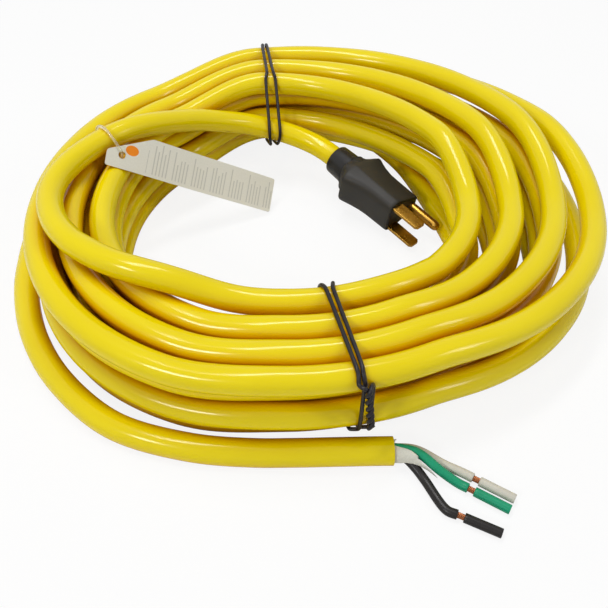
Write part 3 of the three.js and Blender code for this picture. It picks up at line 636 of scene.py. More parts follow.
def circle(r, z, n=6 * CORNER_POINTS, x=0.0, y=0.0):
    """A ring that starts at the same corner as a section and, if n isn't given, fits one."""
    a = 2 * pi * (np.arange(n) / n) + 1.25 * pi
    return np.column_stack([x + r * np.cos(a), y + r * np.sin(a), np.full(n, z)])


# %% The plug's vinyl
# The body left a spark-eroded mould: a fine grain that looks dark grey. The collar's part of
# the mould was polished, so the collar mirrors the lamps.
def moulded_vinyl(name, dark, light, smooth, rough, strength):
    material, tree = new_material(name)
    place = add(tree, "ShaderNodeTexCoord").outputs["Object"]
    # The grain is about 0.1 mm. It is drawn at 0.35 mm, so that it shows.
    grain = {"Vector": place, "Scale": PER_METRE / 0.35, "Detail": 2.0}
    grains = add(tree, "ShaderNodeTexNoise", grain)
    patches, tint = mottled(tree, place, 9, 2.0, dark, light)
    finish_surface(tree, tint, (patches, smooth, rough), VINYL, (grains, strength, 0.04 * MM))
    return material


grained = moulded_vinyl("moulded vinyl, grained, black", "#2B2A28", "#373533", 0.42, 0.56, 0.5)
sleek = moulded_vinyl("moulded vinyl, polished, black", "#222121", "#2C2B2B", 0.16, 0.26, 0.1)
hard = moulded_vinyl("moulded hard vinyl, black", "#201F1F", "#2B2A2A", 0.36, 0.46, 0.2)
print("plug vinyls:", grained.name, "/", sleek.name, "/", hard.name)

# %% The plug's body
# Share of the length from the face, then near, far, half height, half height of the far side, cut.
# A finger grip: the two wings stand out to the near and the far side, and the ridges run straight.
SECTIONS = [
    (0.0, 8.8, 10.7, 9.2, 4.0, 0.9), (0.012, 9.2, 11.1, 9.6, 4.3, 1.0),
    (0.05, 9.4, 11.2, 9.8, 4.4, 1.1), (0.38, 9.8, 11.2, 10.0, 4.6, 1.1),
    (0.52, 10.5, 11.3, 10.1, 4.8, 1.1), (0.64, 11.7, 11.9, 10.2, 5.2, 1.1),
    (0.73, 12.8, 12.7, 10.3, 5.7, 1.1), (0.79, 13.5, 13.5, 10.3, 6.0, 1.1),
    (0.82, 13.7, 13.7, 10.3, 6.1, 1.1), (0.84, 13.5, 13.5, 10.3, 6.1, 1.2),
    (0.87, 12.2, 12.2, 10.1, 6.0, 1.6), (0.905, 10.3, 10.3, 9.8, 5.8, 2.2),
    (0.94, 9.1, 9.1, 9.5, 5.6, 3.0), (0.985, 8.8, 8.8, 9.1, 5.4, 4.0),
]
INSERT_L = 9
BACK = -INSERT_L - CLEARANCE  # the end of the pocket, behind the pin block
ROOM_END = -BODY_L + 9.2  # where the space of the wires begins, seen from the collar
ROOM, POCKET = (8.4, 10, 9.2, 3.6, 1.5), (8.7, 10.8, 8.95, 3.85, 1.3)
rings = [six_corners(*sizes, -share * BODY_L) for share, *sizes in SECTIONS]
rings += [circle(8.9, -BODY_L + 0.1), circle(8.5, -BODY_L), circle(8.35, -BODY_L + 0.4)]
rings += [circle(8.65, ROOM_END), six_corners(7, 7, 7, 3.5, 3, ROOM_END)]
rings += [six_corners(*ROOM, -INSERT_L - 8), six_corners(*ROOM, BACK), six_corners(*POCKET, BACK)]
rings += [six_corners(*POCKET, -0.4), six_corners(8.8, 10.9, 9.05, 3.9, 1.2, -0.05)]
body = loft("moulded_plug_body", rings, grained, closed=True)
placed(body, "cord", ("plug_body",))
print("plug body:", len(rings), "rings")

# %% The collar and the pin block
# The collar is the strain relief: it thins towards the cord, so that a bend is spread along it.
RELIEF_BORE_R = 5.75
COLLAR = [(RELIEF_BORE_R, 0.25), (6.0, 0.02), (6.9, 0), (7.3, 0.12), (7.55, 0.5), (7.62, 1.3)]
COLLAR += [(7.8, 5), (7.98, 9), (8.02, 11), (8.25, 19.7), (RELIEF_BORE_R, RELIEF_L - CLEARANCE)]
rings = [circle(r, -PLUG_L + run) for r, run in COLLAR]
placed(loft("collar", rings, sleek, closed=True), "cord", ("strain_relief",))

BLOCK = (8.5, 10.6, 8.75, 3.7, 1.3)
rings = [six_corners(8.0, 10.1, 8.2, 3.3, 1.0, 0.12), six_corners(8.4, 10.5, 8.6, 3.6, 1.2, 0.05)]
rings += [six_corners(*BLOCK, z) for z in (-0.3, -4.5, -INSERT_L)]
placed(loft("pin_block", rings, hard), "cord", ("plug_insert",))
print("collar:", len(COLLAR), "rings")

# %% [markdown]
# ## Blades, ground pin and what they hold
# The blades are punched from brass strip and the ground pin is turned from rod. Their edges are
# broken, so each catches one bright line. Each ends in a barrel that is crimped on the bared
# strands of its conductor.

# %% Brass
# Bare brass that has been handled is a dull gold, browner where it has tarnished.
brass, tree = new_material("rolled brass, bare")
place = add(tree, "ShaderNodeTexCoord").outputs["Object"]
tarnish, tint = mottled(tree, place, 4, 4.0, "#8E6A28", "#B38A3E")
finish_surface(tree, tint, (tarnish, 0.2, 0.36), METAL)

# %% Blades and ground pin
ROW = -4.4  # the blades stand off the middle, away from the ground pin
# Where each pin stands, the colour of its conductor, and the conductor's side of the cord.
PINS = {
    "line": (ROW, -6.35, "black", -120),
    "neutral": (ROW, 6.35, "white", 120),
    "ground": (ROW + 11.9, 0.0, "green", 0),
}
BLADE_T, BLADE_W, BLADE_L, CHAMFER = 1.5, 6.35, 15.9, 1.2
PIN_R, PIN_L = 2.4, 18.5
BARREL_R, BARREL_L = 2.3, 7
MOUTH = BACK - BARREL_L
BARREL = [(1.42, BACK - 1.6), (1.42, MOUTH + 0.1), (1.7, MOUTH), (2.1, MOUTH)]
BARREL += [(BARREL_R, MOUTH + 0.3)]
TIP = [(PIN_R, BACK), (PIN_R, PIN_L - 2.6), (2.25, PIN_L - 1.5), (1.8, PIN_L - 0.6)]
TIP += [(1.1, PIN_L - 0.12), (0.2, PIN_L)]
TURNED_SIDES = 40


def blade(name, x, y):
    """A punched plate with broken edges, and the open barrel behind it."""
    half, near_tip = BLADE_W / 2, BLADE_L - CHAMFER
    shape = [(-half, BACK - 1), (half, BACK - 1), (half, near_tip), (half - CHAMFER, BLADE_L)]
    shape += [(CHAMFER - half, BLADE_L), (-half, near_tip)]
    mesh = bmesh.new()
    plate = mesh.faces.new([mesh.verts.new((w + x, y - BLADE_T / 2, z)) for w, z in shape])
    raised = bmesh.ops.extrude_face_region(mesh, geom=[plate])["geom"]
    upper = [v for v in raised if isinstance(v, bmesh.types.BMVert)]
    bmesh.ops.translate(mesh, verts=upper, vec=(0, BLADE_T, 0))
    bmesh.ops.recalc_face_normals(mesh, faces=mesh.faces)
    edges = {"offset": 0.2, "segments": 3, "affect": "EDGES", "profile": 0.6}
    bmesh.ops.bevel(mesh, geom=mesh.edges, **edges)
    for vert in mesh.verts:
        vert.co = Vector(in_frame(in_plug(vert.co)))
    barrel = [circle(r, z, TURNED_SIDES, x, y) for r, z in BARREL + [(BARREL_R, BACK - 0.2)]]
    made = loft(name, barrel, brass)
    mesh.from_mesh(made.data)
    for face in mesh.faces:
        face.smooth = True
    mesh.to_mesh(made.data)
    mesh.free()
    return made


for name, (x, y, *_) in PINS.items():
    if name == "ground":
        rings = [circle(r, z, TURNED_SIDES, x, y) for r, z in BARREL + TIP]
        placed(loft("turned_ground_pin", rings, brass), "cord", ("ground_pin",))
    else:
        placed(blade("punched_" + name + "_blade", x, y), "cord", (name + "_blade",))
print("pins:", ", ".join(PINS))

# %% [markdown]
# ## Insulated conductors
# Each conductor is a sleeve of soft vinyl round a twisted bundle of copper strands. The sleeve
# is cut square, so its skin turns in over the rim and goes back along the bore.

# %% The three insulations
# Soft vinyl has a satin skin, and the jacket and the stripping have smeared it a little.
SHADES = {"green": ("#128A61", "#22A67C"), "white": ("#C6C2B5", "#DAD7CC")}
SHADES["black"] = ("#161413", "#242120")
INSULATION = {}
for colour, shades in SHADES.items():
    INSULATION[colour], tree = new_material("extruded vinyl insulation, " + colour)
    place = add(tree, "ShaderNodeTexCoord").outputs["Object"]
    smears, tint = mottled(tree, place, 2.5, 3.0, *shades)
    finish_surface(tree, tint, (smears, 0.26, 0.42), VINYL, (smears, 0.15, 0.1 * MM))
print("insulations:", ", ".join(INSULATION))

# %% Sleeves along a path
CORE_D, COPPER_D = 3.6, 2.3
SLEEVE_SIDES = 28
RIM, BORE_RIM = 0.13, 0.06  # how far the cut edges are broken, outside and in the bore


def sleeve(name, path, material):
    """Out along the skin, over the cut rim, back in the bore and over the other rim."""
    ahead = np.gradient(path, axis=0)
    ahead /= np.linalg.norm(ahead, axis=1)[:, None]
    side = np.cross(ahead[0], (0.3, 0.2, 1.0))
    r, bore, last = CORE_D / 2, COPPER_D / 2 + 0.2, len(path) - 1
    # Which point of the path, how far past it, and how far out.
    profile = [(0, 0.0, r - RIM), (0, RIM, r)] + [(i, 0.0, r) for i in range(1, last)]
    profile += [(last, -RIM, r), (last, 0.0, r - RIM), (last, 0.0, bore + BORE_RIM)]
    profile += [(last, -0.1, bore)] + [(i, 0.0, bore) for i in range(last - 1, 0, -1)]
    profile += [(0, 0.1, bore), (0, 0.0, bore + BORE_RIM)]
    sides = []
    for way in ahead:
        side = unit(side - way * (side @ way))
        sides.append(side)
    angles = 2 * pi * np.arange(SLEEVE_SIDES) / SLEEVE_SIDES
    points = []
    for i, along, radius in profile:
        third = np.cross(ahead[i], sides[i])
        ring = sides[i] * np.cos(angles)[:, None] + third * np.sin(angles)[:, None]
        points.append(path[i] + ahead[i] * along + ring * radius)
    return plain_object(name, np.vstack(points), strips(len(profile), SLEEVE_SIDES, True), material)


# %% [markdown]
# ## Copper strands
# Nineteen strands make one conductor: one in the middle, six round it and twelve round those,
# all twisted. That is a pattern that repeats, so a second tree makes it: circles of points, a
# line on each point, a turn that grows with the length, and a small circle swept along.

# %% The tree of the strands
SIZES = {"Length": "Float", "Bundle diameter": "Float", "Lay length": "Float"}
twist, given = new_growth("twisted strands", {**SIZES, "Start": "Vector", "Turn": "Vector"})
abreast = {0: given["Bundle diameter"], 1: 5}  # five strands side by side
strand_d = add(twist, "ShaderNodeMath", abreast, operation="DIVIDE")
feet = [add(twist, "GeometryNodeMeshLine", {"Count": 1})]
for count, share in ((6, 1.0), (12, 1.98)):
    out = add(twist, "ShaderNodeMath", {0: strand_d, 1: share}, operation="MULTIPLY")
    feet.append(add(twist, "GeometryNodeMeshCircle", {"Vertices": count, "Radius": out}))
joined = add(twist, "GeometryNodeJoinGeometry")
for foot in feet:
    twist.links.new(foot.outputs[0], joined.inputs[0])
top = add(twist, "ShaderNodeCombineXYZ", {2: given["Length"]})
straight = add(twist, "GeometryNodeCurvePrimitiveLine", {"End": top})
straight = add(twist, "GeometryNodeResampleCurve", {"Curve": straight, "Count": 24})
lengths = {"Min": (1, 1, 0.93), "Max": (1, 1, 1), "Seed": 7}  # the strands end unevenly
uneven = add(twist, "FunctionNodeRandomValue", lengths, data_type="FLOAT_VECTOR")
copies = {"Points": joined, "Instance": straight, "Scale": uneven}
lines = add(twist, "GeometryNodeInstanceOnPoints", copies)
lines = add(twist, "GeometryNodeRealizeInstances", {"Geometry": lines})

# %% The twist, and the copper
at = add(twist, "GeometryNodeInputPosition")
height = add(twist, "ShaderNodeSeparateXYZ", {0: at}).outputs["Z"]
lays = add(twist, "ShaderNodeMath", {0: height, 1: given["Lay length"]}, operation="DIVIDE")
turned = add(twist, "ShaderNodeMath", {0: lays, 1: 2 * pi}, operation="MULTIPLY")
spun = add(twist, "ShaderNodeVectorRotate", {"Vector": at, "Angle": turned}, rotation_type="Z_AXIS")
lines = add(twist, "GeometryNodeSetPosition", {"Geometry": lines, "Position": spun})
half = add(twist, "ShaderNodeMath", {0: strand_d, 1: 0.5}, operation="MULTIPLY")
ring = add(twist, "GeometryNodeCurvePrimitiveCircle", {"Resolution": 10, "Radius": half})
wire = {"Curve": lines, "Profile Curve": ring, "Fill Caps": True}
wires = add(twist, "GeometryNodeCurveToMesh", wire)
moved = {"Geometry": wires, "Translation": given["Start"], "Rotation": given["Turn"]}
wires = add(twist, "GeometryNodeTransform", moved)
end_growth(twist, wires, given)

# Bare copper that has been handled is a dull pinkish brown, not the orange of a new coin.
bare_copper, tree = new_material("drawn copper, bare")
place = add(tree, "ShaderNodeTexCoord").outputs["Object"]
tint = mottled(tree, place, 1.5, 3.0, "#7A4A30", "#A86D4A")[1]
finish_surface(tree, tint, 0.38, METAL)


def strands(name, start, stop):
    along = stop - start
    turn = Vector(along).to_track_quat("Z", "Y").to_euler()
    sizes = {"Length": float(np.linalg.norm(along)) * MM, "Bundle diameter": 2.25 * MM}
    sizes |= {"Lay length": 26 * MM, "Start": tuple(in_frame(start)), "Turn": tuple(turn)}
    return grow(name, twist, {**sizes, "Material": bare_copper}, np.zeros((2, 3)))


print("strand tree:", len(twist.nodes), "nodes")

# %% Conductors in the plug
CORE_SPREAD = (CORE_D + CLEARANCE) / sqrt(3)  # three conductors side by side, just apart
for name, (x, y, colour, seat) in PINS.items():
    sx, sy = CORE_SPREAD * cos(radians(seat)), CORE_SPREAD * sin(radians(seat))
    from_cord, to_barrel = -PLUG_L + RELIEF_L, MOUTH - 1
    knots = [(sx, sy, from_cord), (sx, sy, from_cord + 1)]
    knots += [(x, y, to_barrel - 2.5), (x, y, to_barrel)]
    made = sleeve(name + "_core", even(through(in_plug(knots), 12), 0.8), INSULATION[colour])
    placed(made, "cord", (name + "_conductor",))
    ends = in_plug([(x, y, to_barrel - 2), (x, y, BACK - 1.8)])
    placed(strands(name + "_copper", *ends), "cord", (name + "_strands",))
print("conductors in the plug:", len(PINS))

# %% [markdown]
# ## The cut end
# The three conductors come out of the cut jacket, with a torn remnant of the paper that was
# wrapped round them. Each is bared for a short gap. The cut length of its insulation, the slug,
# is still on the tip and can be pulled along the copper, so it rides on a body of its own.

# %% Conductors at the cut end
UP = np.array([0, 0, 1.0])
SLUG_L, SLUG_GAP = 13.5, 2.5
CORE_ON_FLOOR = CORE_D / 2 + 0.1
cut_end = tail[-1]
cut_axis = unit(tail[-1] - tail[-2])
cut_side = unit(np.cross(UP, cut_axis))
# Where each leaves the jacket, its bends, its tip and its heading, from the middle of the cut.
CORES = {
    "green": (90, [(8.8, -1.6, 6.9), (16.5, -7.2, 4.2)], (39.9, -21.6), (0.851, -0.525)),
    "white": (-30, [(8.8, 1.7, 3.6), (19, -3.8, 2.2)], (42.4, -17.5), (0.851, -0.525)),
    "black": (210, [(4.2, -2.1, 4.3), (8, -5.6, 3), (11, -10, 2)], (35.3, -30.4), (0.9, -0.436)),
}
for colour, (at, bends, tip, to) in CORES.items():
    way = unit(np.array([*to, 0]))
    tip = np.array([cut_end[0] + tip[0], cut_end[1] + tip[1], CORE_ON_FLOOR])
    slug_start = tip - way * SLUG_L
    strip_at = slug_start - way * SLUG_GAP
    out = cut_end + CORE_SPREAD * (cut_side * cos(radians(at)) + UP * sin(radians(at)))
    inside = out + cut_axis * (1 - BORE_L)
    bends = [np.array([cut_end[0], cut_end[1], 0]) + bend for bend in bends]
    knots = [inside, inside + cut_axis * BORE_L / 2, out, *bends, strip_at - way * 4, strip_at]
    made = sleeve(colour + "_sleeve", even(through(knots, 10), 0.9), INSULATION[colour])
    placed(made, "cord", (colour + "_insulation",))
    slug_path = even(np.array([slug_start, tip]), 0.9)
    slug = sleeve(colour + "_cut_slug", slug_path, INSULATION[colour])
    placed(slug, colour + "_slug_body", (colour + "_slug",))
    ends = strip_at - way * 2, slug_start + way * (SLUG_L - SLUG_GAP)
    placed(strands(colour + "_copper", *ends), "cord", (colour + "_strands",))
print("cut end at", cut_end.round(1))

# %% The torn paper
# Wrapping paper is soft, thin and matt. It tears in points, and its free edge lifts a little.
PAPER_SIDES, PAPER_ROWS = 96, 14
PAPER_FROM, PAPER_R, PAPER_T = -9, CORE_SPREAD + CORE_D / 2 + 0.22, 0.12
FLARE, CREASE, CREASES = 0.05, 0.07, 9
WISP_FROM, WISP_BEND = 3, -0.035 * cut_side - 0.024 * UP
# How far the tear reaches out of the jacket, by angle: short behind, long in front, one wisp.
TORN = {0: 1.4, 40: 0.8, 70: 0.2, 92: 0.2, 106: 3.2, 118: 6.8, 130: 9.2, 142: 8.6, 150: 9.8}
TORN |= {157: 13.4, 165: 15.6, 172: 13.2, 179: 7, 190: 4, 204: 2.4, 235: 2.3, 262: 4.6}
TORN |= {275: 5.2, 292: 3, 330: 1.8, 360: 1.4}
tears = np.random.default_rng(5)
jagged = np.convolve(tears.normal(0, 0.55, PAPER_SIDES + 2), (0.25, 0.5, 0.25), "valid")
points = []
for row in range(PAPER_ROWS):
    for k in range(PAPER_SIDES):
        angle = 360 * k / PAPER_SIDES
        reach = np.interp(angle, list(TORN), list(TORN.values())) + max(jagged[k], -0.6)
        run = PAPER_FROM + (reach - PAPER_FROM) * row / (PAPER_ROWS - 1)
        flare = FLARE * min(max(run, 0), 6) ** 1.2
        crease = CREASE * sin(radians(angle) * CREASES + run * 0.8) * min(max(run + 1, 0), 1)
        around = cut_side * cos(radians(angle)) + UP * sin(radians(angle))
        bent = max(run - WISP_FROM, 0) ** 2 * WISP_BEND
        points.append(cut_end + cut_axis * run + (PAPER_R + flare + crease) * around + bent)
points = np.array(points)
points[:, 2] = np.maximum(points[:, 2], 0.15)  # the wisp lies on the floor, not in it
print("paper:", PAPER_ROWS, "rows of", PAPER_SIDES)

# %% The paper's finish
wrapping_paper, tree = new_material("wrapping paper, torn")
place = add(tree, "ShaderNodeTexCoord").outputs["Object"]
fibre, tint = mottled(tree, place, 0.5, 4.0, "#D3D2C3", "#EEEDE2")
finish_surface(tree, tint, 0.9, PAPER, (fibre, 0.4, 0.08 * MM))
faces = strips(PAPER_ROWS, PAPER_SIDES)[:-2]  # both ends stay open
wrap = plain_object("torn_wrap", points, faces, wrapping_paper)
thickness = wrap.modifiers.new("thickness", "SOLIDIFY")
thickness.thickness, thickness.offset = PAPER_T * MM, -1
placed(settle(wrap), "cord", ("paper_wrap",))
print("torn paper:", len(wrap.data.polygons), "faces")

# %% [markdown]
# ## The wire ties
# Each tie is one length of coated wire, taken twice round the bundle and twisted with itself.
# The wire spans the hollows between the loops, so its path is the outline that a tight string
# would take: at every angle, the loop that reaches furthest out decides where the wire is.

# %% The path of a tie
TIE_D, TIE_SPREAD = 1.6, 5  # the wire, and how far apart its two ends leave the bundle
TIE_REACH = CORD_R + 1.2  # from the middle of a loop to the middle of the wire
TWIST_R = TIE_D / 2 + 0.05
TWIST_OFF, SHOULDER_OFF = 3.4, 1.8  # how far off the bundle the twist and its shoulders start
ROUND_STEPS, TWIST_STEPS = 104, 16  # steps in a round, and in a turn of the twist


def tie_path(angle, extra, at, lean, length, twists):
    """One twisted end, two rounds and the other end, as a single line of points."""
    a = radians(angle)
    out, run = np.array([cos(a), sin(a), 0]), np.array([-sin(a), cos(a), 0])
    passes = np.arange(angle / 360 - 1, COIL_END, 1)
    loops = [coil_point(s) for s in passes if s >= COIL_START] + extra
    centres = np.array([(np.hypot(p[0], p[1]), p[2]) for p in loops])

    def on_bundle(phi, offset):
        d = np.array([cos(phi), sin(phi)])
        far = centres[np.argmax(centres @ d)] + TIE_REACH * d
        return out * far[0] + UP * far[1] + run * offset

    first = radians(at)
    foot, away = on_bundle(first, 0), out * cos(first) + UP * sin(first)
    base = foot + away * TWIST_OFF
    way = unit(out * lean[0] + UP * lean[1] + run * lean[2])
    across = unit(run - way * (run @ way))
    third = np.cross(way, across)

    def twisted(sign):
        half = []
        for t in np.linspace(0, 1, twists * TWIST_STEPS + 1):
            turn = 2 * pi * twists * t
            beside = across * cos(turn) + third * sin(turn)
            half.append(base + way * length * t + sign * TWIST_R * beside)
        return half

    shoulders = [foot + away * SHOULDER_OFF + run * sign * 0.4 * TIE_SPREAD for sign in (-1, 1)]
    rounds = []
    for t in np.linspace(0, 1, 2 * ROUND_STEPS + 1):
        turn = 4 * pi * t
        # Wound by hand, the two rounds nearly touch beside the twist and stray apart elsewhere.
        stray = 0.55 * (1 - cos(turn)) - 0.5 * sin(2 * turn)
        offset = TIE_SPREAD * (t - 0.5) + (stray if t > 0.5 else -stray)
        rounds.append(on_bundle(first + turn, offset))
    path = np.array(twisted(-1)[::-1] + [shoulders[0]] + rounds + [shoulders[1]] + twisted(1))
    for _ in range(3):
        path[1:-1] += (path[:-2] - 2 * path[1:-1] + path[2:]) / 4
    return even(through(path, 3), 0.8)


# %% The ties
# The coating is soft, so the wire keeps small dents from the hands that twisted it.
tie_coating, tree = new_material("vinyl coated tie wire, black")
lie = add(tree, "ShaderNodeAttribute", attribute_name="lie").outputs["Vector"]
dents, tint = mottled(tree, lie, 3, 2.0, "#151217", "#242027")
finish_surface(tree, tint, 0.3, VINYL, (dents, 0.5, 0.3 * MM))
rear_lead = [p for p in lead if abs(degrees(atan2(p[1], p[0])) - REAR_TIE_ANGLE) < 3]
# The angle round the coil, the other cords held, where on the bundle the twist is, which way it
# leans, its length and its turns.
TIES = {
    "front": (FRONT_TIE_ANGLE, [], 25, (0.17, -1, 0.06), 19, 3),
    "rear": (REAR_TIE_ANGLE, rear_lead, 14, (0.3, -1, -0.1), 11, 2),
}
PLAIN = {"Lobe height": 0.0, "Lay length": 1.0}  # a bar without lobes
for name, how in TIES.items():
    path = tie_path(*how)
    thin = np.ones(len(path))
    thin[[0, -1]], thin[[1, -2]] = 0.6, 0.9  # the wire's cut ends are a little rounded
    sizes = {"Diameter": TIE_D * MM, "Sides": 16, **PLAIN, "Material": tie_coating}
    tie = grow(name + "_wire_tie", sweep, sizes, path, thinning=thin)
    placed(tie, "cord", (name + "_tie",))
    print(name, "tie:", round(steps_of(path).sum()), "mm of wire")

# %% [markdown]
# ## The tag and its loop
# The tag is a strip of stiff coated paper. It was blanked from sheet with one corner cut off and
# a round hole beside it. A grid of faces is bent a little, given its thickness and punched, and
# only then set in place, so that the printed face keeps a flat map of its own.

# %% The strip
TAG_CORNER = spot(173.9, 7.1, 47.2)
TAG_FAR, TAG_UPPER = spot(108.3, -42, 0.6), spot(103, -29.9, 13.2)
TAG_L, TAG_W, TAG_T = 88, 17.5, 0.42
CUT_RUN, CUT_END = 20.3, 7.2  # how far the cut corner runs, and what it leaves of the end
HOLE_AT, HOLE_R = (7, 6.2), 1.7
CUPPED, WAVY = 0.35, 0.2  # how far the strip is bent across and along
tag_along = unit(TAG_FAR - TAG_CORNER)
tag_up = TAG_UPPER - TAG_FAR
tag_up = unit(tag_up - tag_along * (tag_up @ tag_along))
tag_out = np.cross(tag_along, tag_up)
ROWS = 19
ENDS = np.array([0, 0.1, 0.3, 0.6])  # columns close together, for the rounded corners
columns = np.concatenate([ENDS, np.linspace(1, TAG_L - 1, 88), TAG_L - ENDS[::-1]])
points = []
for x in columns:
    rounded = 1 - sqrt(max(1 - (1 - min(x, TAG_L - x, 1)) ** 2, 0))
    top = CUT_END + (TAG_W - CUT_END) * min(x / CUT_RUN, 1)
    for t in np.linspace(0, 1, ROWS):
        bent = CUPPED * sin(pi * x / TAG_L) * (2 * t - 1) + WAVY * sin(3 * pi * x / TAG_L)
        points.append((x * MM, (rounded + (top - 2 * rounded) * t) * MM, bent * MM))
faces = []
for here in range(0, (len(columns) - 1) * ROWS, ROWS):
    there = here + ROWS
    faces += [(here + k, there + k, there + k + 1, here + k + 1) for k in range(ROWS - 1)]
strip = bpy.data.meshes.new("strip")
strip.from_pydata(points, [], faces)
tag = linked("printed_tag", strip)
thickness = tag.modifiers.new("thickness", "SOLIDIFY")
thickness.thickness, thickness.offset = TAG_T * MM, 0
print("strip:", len(columns), "columns of", ROWS)

# %% The punched hole
punch = bmesh.new()
middle = Matrix.Translation((HOLE_AT[0] * MM, HOLE_AT[1] * MM, 0))
round_bar = {"segments": 48, "radius1": HOLE_R * MM, "radius2": HOLE_R * MM, "depth": 6 * MM}
bmesh.ops.create_cone(punch, cap_ends=True, matrix=middle, **round_bar)
punched = linked("punch", bpy.data.meshes.new("punch"))
punch.to_mesh(punched.data)
punch.free()
hole = tag.modifiers.new("hole", "BOOLEAN")
hole.operation, hole.object, hole.solver = "DIFFERENCE", punched, "EXACT"
settle(tag)
bpy.data.objects.remove(punched)
print("punched strip:", len(tag.data.polygons), "faces")

# %% The tag's paper and its print
# Coated paper is smooth and has a slight sheen. All sizes here are those of the flat map, in
# millimetres. The print is plain grey rules across the strip, in blocks of five with one left
# out between, and each ends where it likes.
RULE_PITCH, RULE_SHARE, BLOCK_PITCH, INK = 1.7, 0.36, 6.0, 0.45
RULES_FROM, RULES_FOOT, RULES_TOP = 19.0, 1.5, {"To Min": 9.5, "To Max": 16.4}
DOT_X, DOT_Y, DOT_R, DOT_SQUASH = 11.3, 9.4, 2.3, 0.76  # the dot is wider than it is high
coated_paper, tree = new_material("coated paper, printed")
flat = add(tree, "ShaderNodeUVMap", uv_map="printed face").outputs["UV"]
fibre = add(tree, "ShaderNodeTexNoise", {"Vector": flat, "Scale": 1.4, "Detail": 5.0})
shades = {0: fibre, 6: linear("#D9D8CD"), 7: linear("#E9E8DF")}
paper = add(tree, "ShaderNodeMix", shades, data_type="RGBA").outputs[2]
along = add(tree, "ShaderNodeSeparateXYZ", {0: flat}).outputs
line = add(tree, "ShaderNodeMath", {0: along["X"], 1: 1 / RULE_PITCH}, operation="MULTIPLY")
number = add(tree, "ShaderNodeMath", {0: line}, operation="FLOOR")
within = add(tree, "ShaderNodeMath", {0: line}, operation="FRACT")
inked = add(tree, "ShaderNodeMath", {0: within, 1: RULE_SHARE}, operation="LESS_THAN")
in_block = add(tree, "ShaderNodeMath", {0: number, 1: BLOCK_PITCH}, operation="MODULO")
chance = add(tree, "ShaderNodeTexWhiteNoise", {"W": number}, noise_dimensions="1D")
last = add(tree, "ShaderNodeMapRange", {"Value": chance, **RULES_TOP})
LIMITS = (
    (in_block, 0.5, "GREATER_THAN"),
    (along["Y"], RULES_FOOT, "GREATER_THAN"),
    (along["Y"], last, "LESS_THAN"),
    (along["X"], RULES_FROM, "GREATER_THAN"),
)
for value, limit, kind in LIMITS:
    kept = add(tree, "ShaderNodeMath", {0: value, 1: limit}, operation=kind)
    inked = add(tree, "ShaderNodeMath", {0: inked, 1: kept}, operation="MULTIPLY")
inked = add(tree, "ShaderNodeMath", {0: inked, 1: INK}, operation="MULTIPLY")
grey = {0: inked, 6: paper, 7: linear("#9A9A96")}
ruled = add(tree, "ShaderNodeMix", grey, data_type="RGBA").outputs[2]
squashed = add(tree, "ShaderNodeVectorMath", {0: flat, 1: (DOT_SQUASH, 1, 0)}, operation="MULTIPLY")
dot_at = {0: squashed, 1: (DOT_SQUASH * DOT_X, DOT_Y, 0)}
apart = add(tree, "ShaderNodeVectorMath", dot_at, operation="DISTANCE").outputs["Value"]
EDGE = {"From Min": DOT_R, "From Max": DOT_R + 0.12, "To Min": 1.0, "To Max": 0.0}
dot = add(tree, "ShaderNodeMapRange", {"Value": apart, **EDGE})
orange = {0: dot, 6: ruled, 7: linear("#F28A14")}
printed = add(tree, "ShaderNodeMix", orange, data_type="RGBA").outputs[2]
finish_surface(tree, printed, 0.5, PAPER, (fibre, 0.1, 0.1 * MM))


# %% The tag's place
def on_tag(x, y, z=0.0):
    return TAG_CORNER + tag_along * x + tag_up * y + tag_out * z


face_map = tag.data.uv_layers.new(name="printed face")
for loop in tag.data.loops:
    at = tag.data.vertices[loop.vertex_index].co
    face_map.data[loop.index].uv = (at.x / MM, at.y / MM)
for vertex in tag.data.vertices:
    vertex.co = in_frame(on_tag(*(vertex.co / MM)))
tag.data.materials.clear()
tag.data.materials.append(coated_paper)
placed(tag, "tag", ("hang_tag",))
print("tag:", len(tag.data.polygons), "faces")

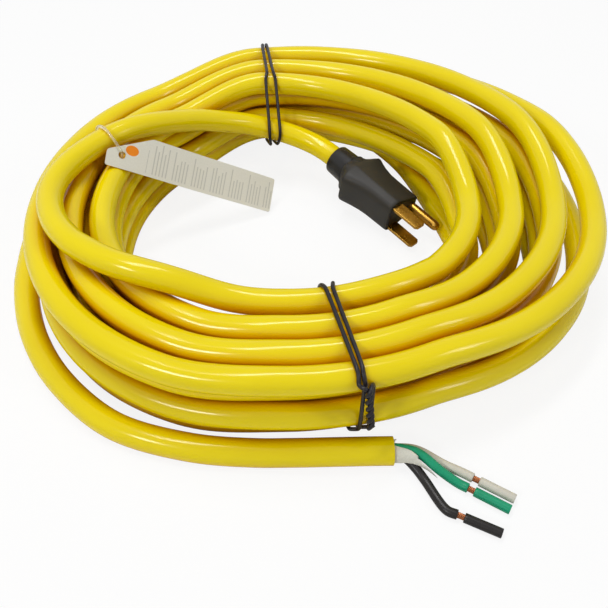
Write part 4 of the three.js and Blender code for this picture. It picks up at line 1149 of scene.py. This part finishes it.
# %% The clear loop
# Clear nylon bends light like the vinyl does, but lets most of it through.
LOOP_D = 1.2
NARROW = 0.62  # the share of the way to the hole where the two sides are close
lead_even = even(lead, steps_of(lead).sum() / 200)
hole_at = on_tag(*HOLE_AT)
nearest = int(np.argmin(np.linalg.norm(lead_even - hole_at, axis=1)))
hang = lead_even[nearest]
hang_axis = unit(lead_even[nearest + 1] - lead_even[nearest - 1])
to_hole = hole_at - hang - hang_axis * ((hole_at - hang) @ hang_axis)
reach = np.linalg.norm(to_hole)
to_hole = to_hole / reach
loop_side = np.cross(hang_axis, to_hole)
loop_r = CORD_R + LOOP_D / 2 + 0.4
# Round the lead, on the side away from the hole, and then through the hole.
knots = [(loop_r * cos(radians(a)), loop_r * sin(radians(a))) for a in range(65, 296, 23)]
knots += [(NARROW * reach, -4.2), (reach - 0.6, -2.2), (reach + 0.3, 0)]
knots += [(reach - 0.6, 2.2), (NARROW * reach, 4.2)]
ring = np.array([hole_at + to_hole * (x - reach) + loop_side * y for x, y in knots])
SPAN = 6
closed = through(np.vstack([ring[-2:], ring, ring[:3]]), SPAN)[2 * SPAN : (2 + len(ring)) * SPAN]
clear_nylon, tree = new_material("drawn nylon cord, clear")
CLEAR = {"IOR": 1.53, "Transmission Weight": 0.85}
finish_surface(tree, linear("#F4F1DD"), 0.12, CLEAR)
sizes = {"Diameter": LOOP_D * MM, "Sides": 20, **PLAIN, "Material": clear_nylon}
loop = grow("clear_tag_loop", sweep, sizes, closed, closed=True)
placed(loop, "tag", ("tag_loop",))
print("loop of", len(closed), "points")

# %% [markdown]
# ## The cord is declared, and sizes are compared
# The jacket is a free cord from the plug to its bare end. The finished box should be that of the
# imported model, but for a rounded edge here and there.

# %% Sizes
boxes = {name: [[float(v) for v in corner] for corner in box] for name, box in (("cad", cad_box), ("visual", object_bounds()))}
for name, box in boxes.items():
    print(name, [round((high - low) / MM, 1) for low, high in zip(*box)], "mm")
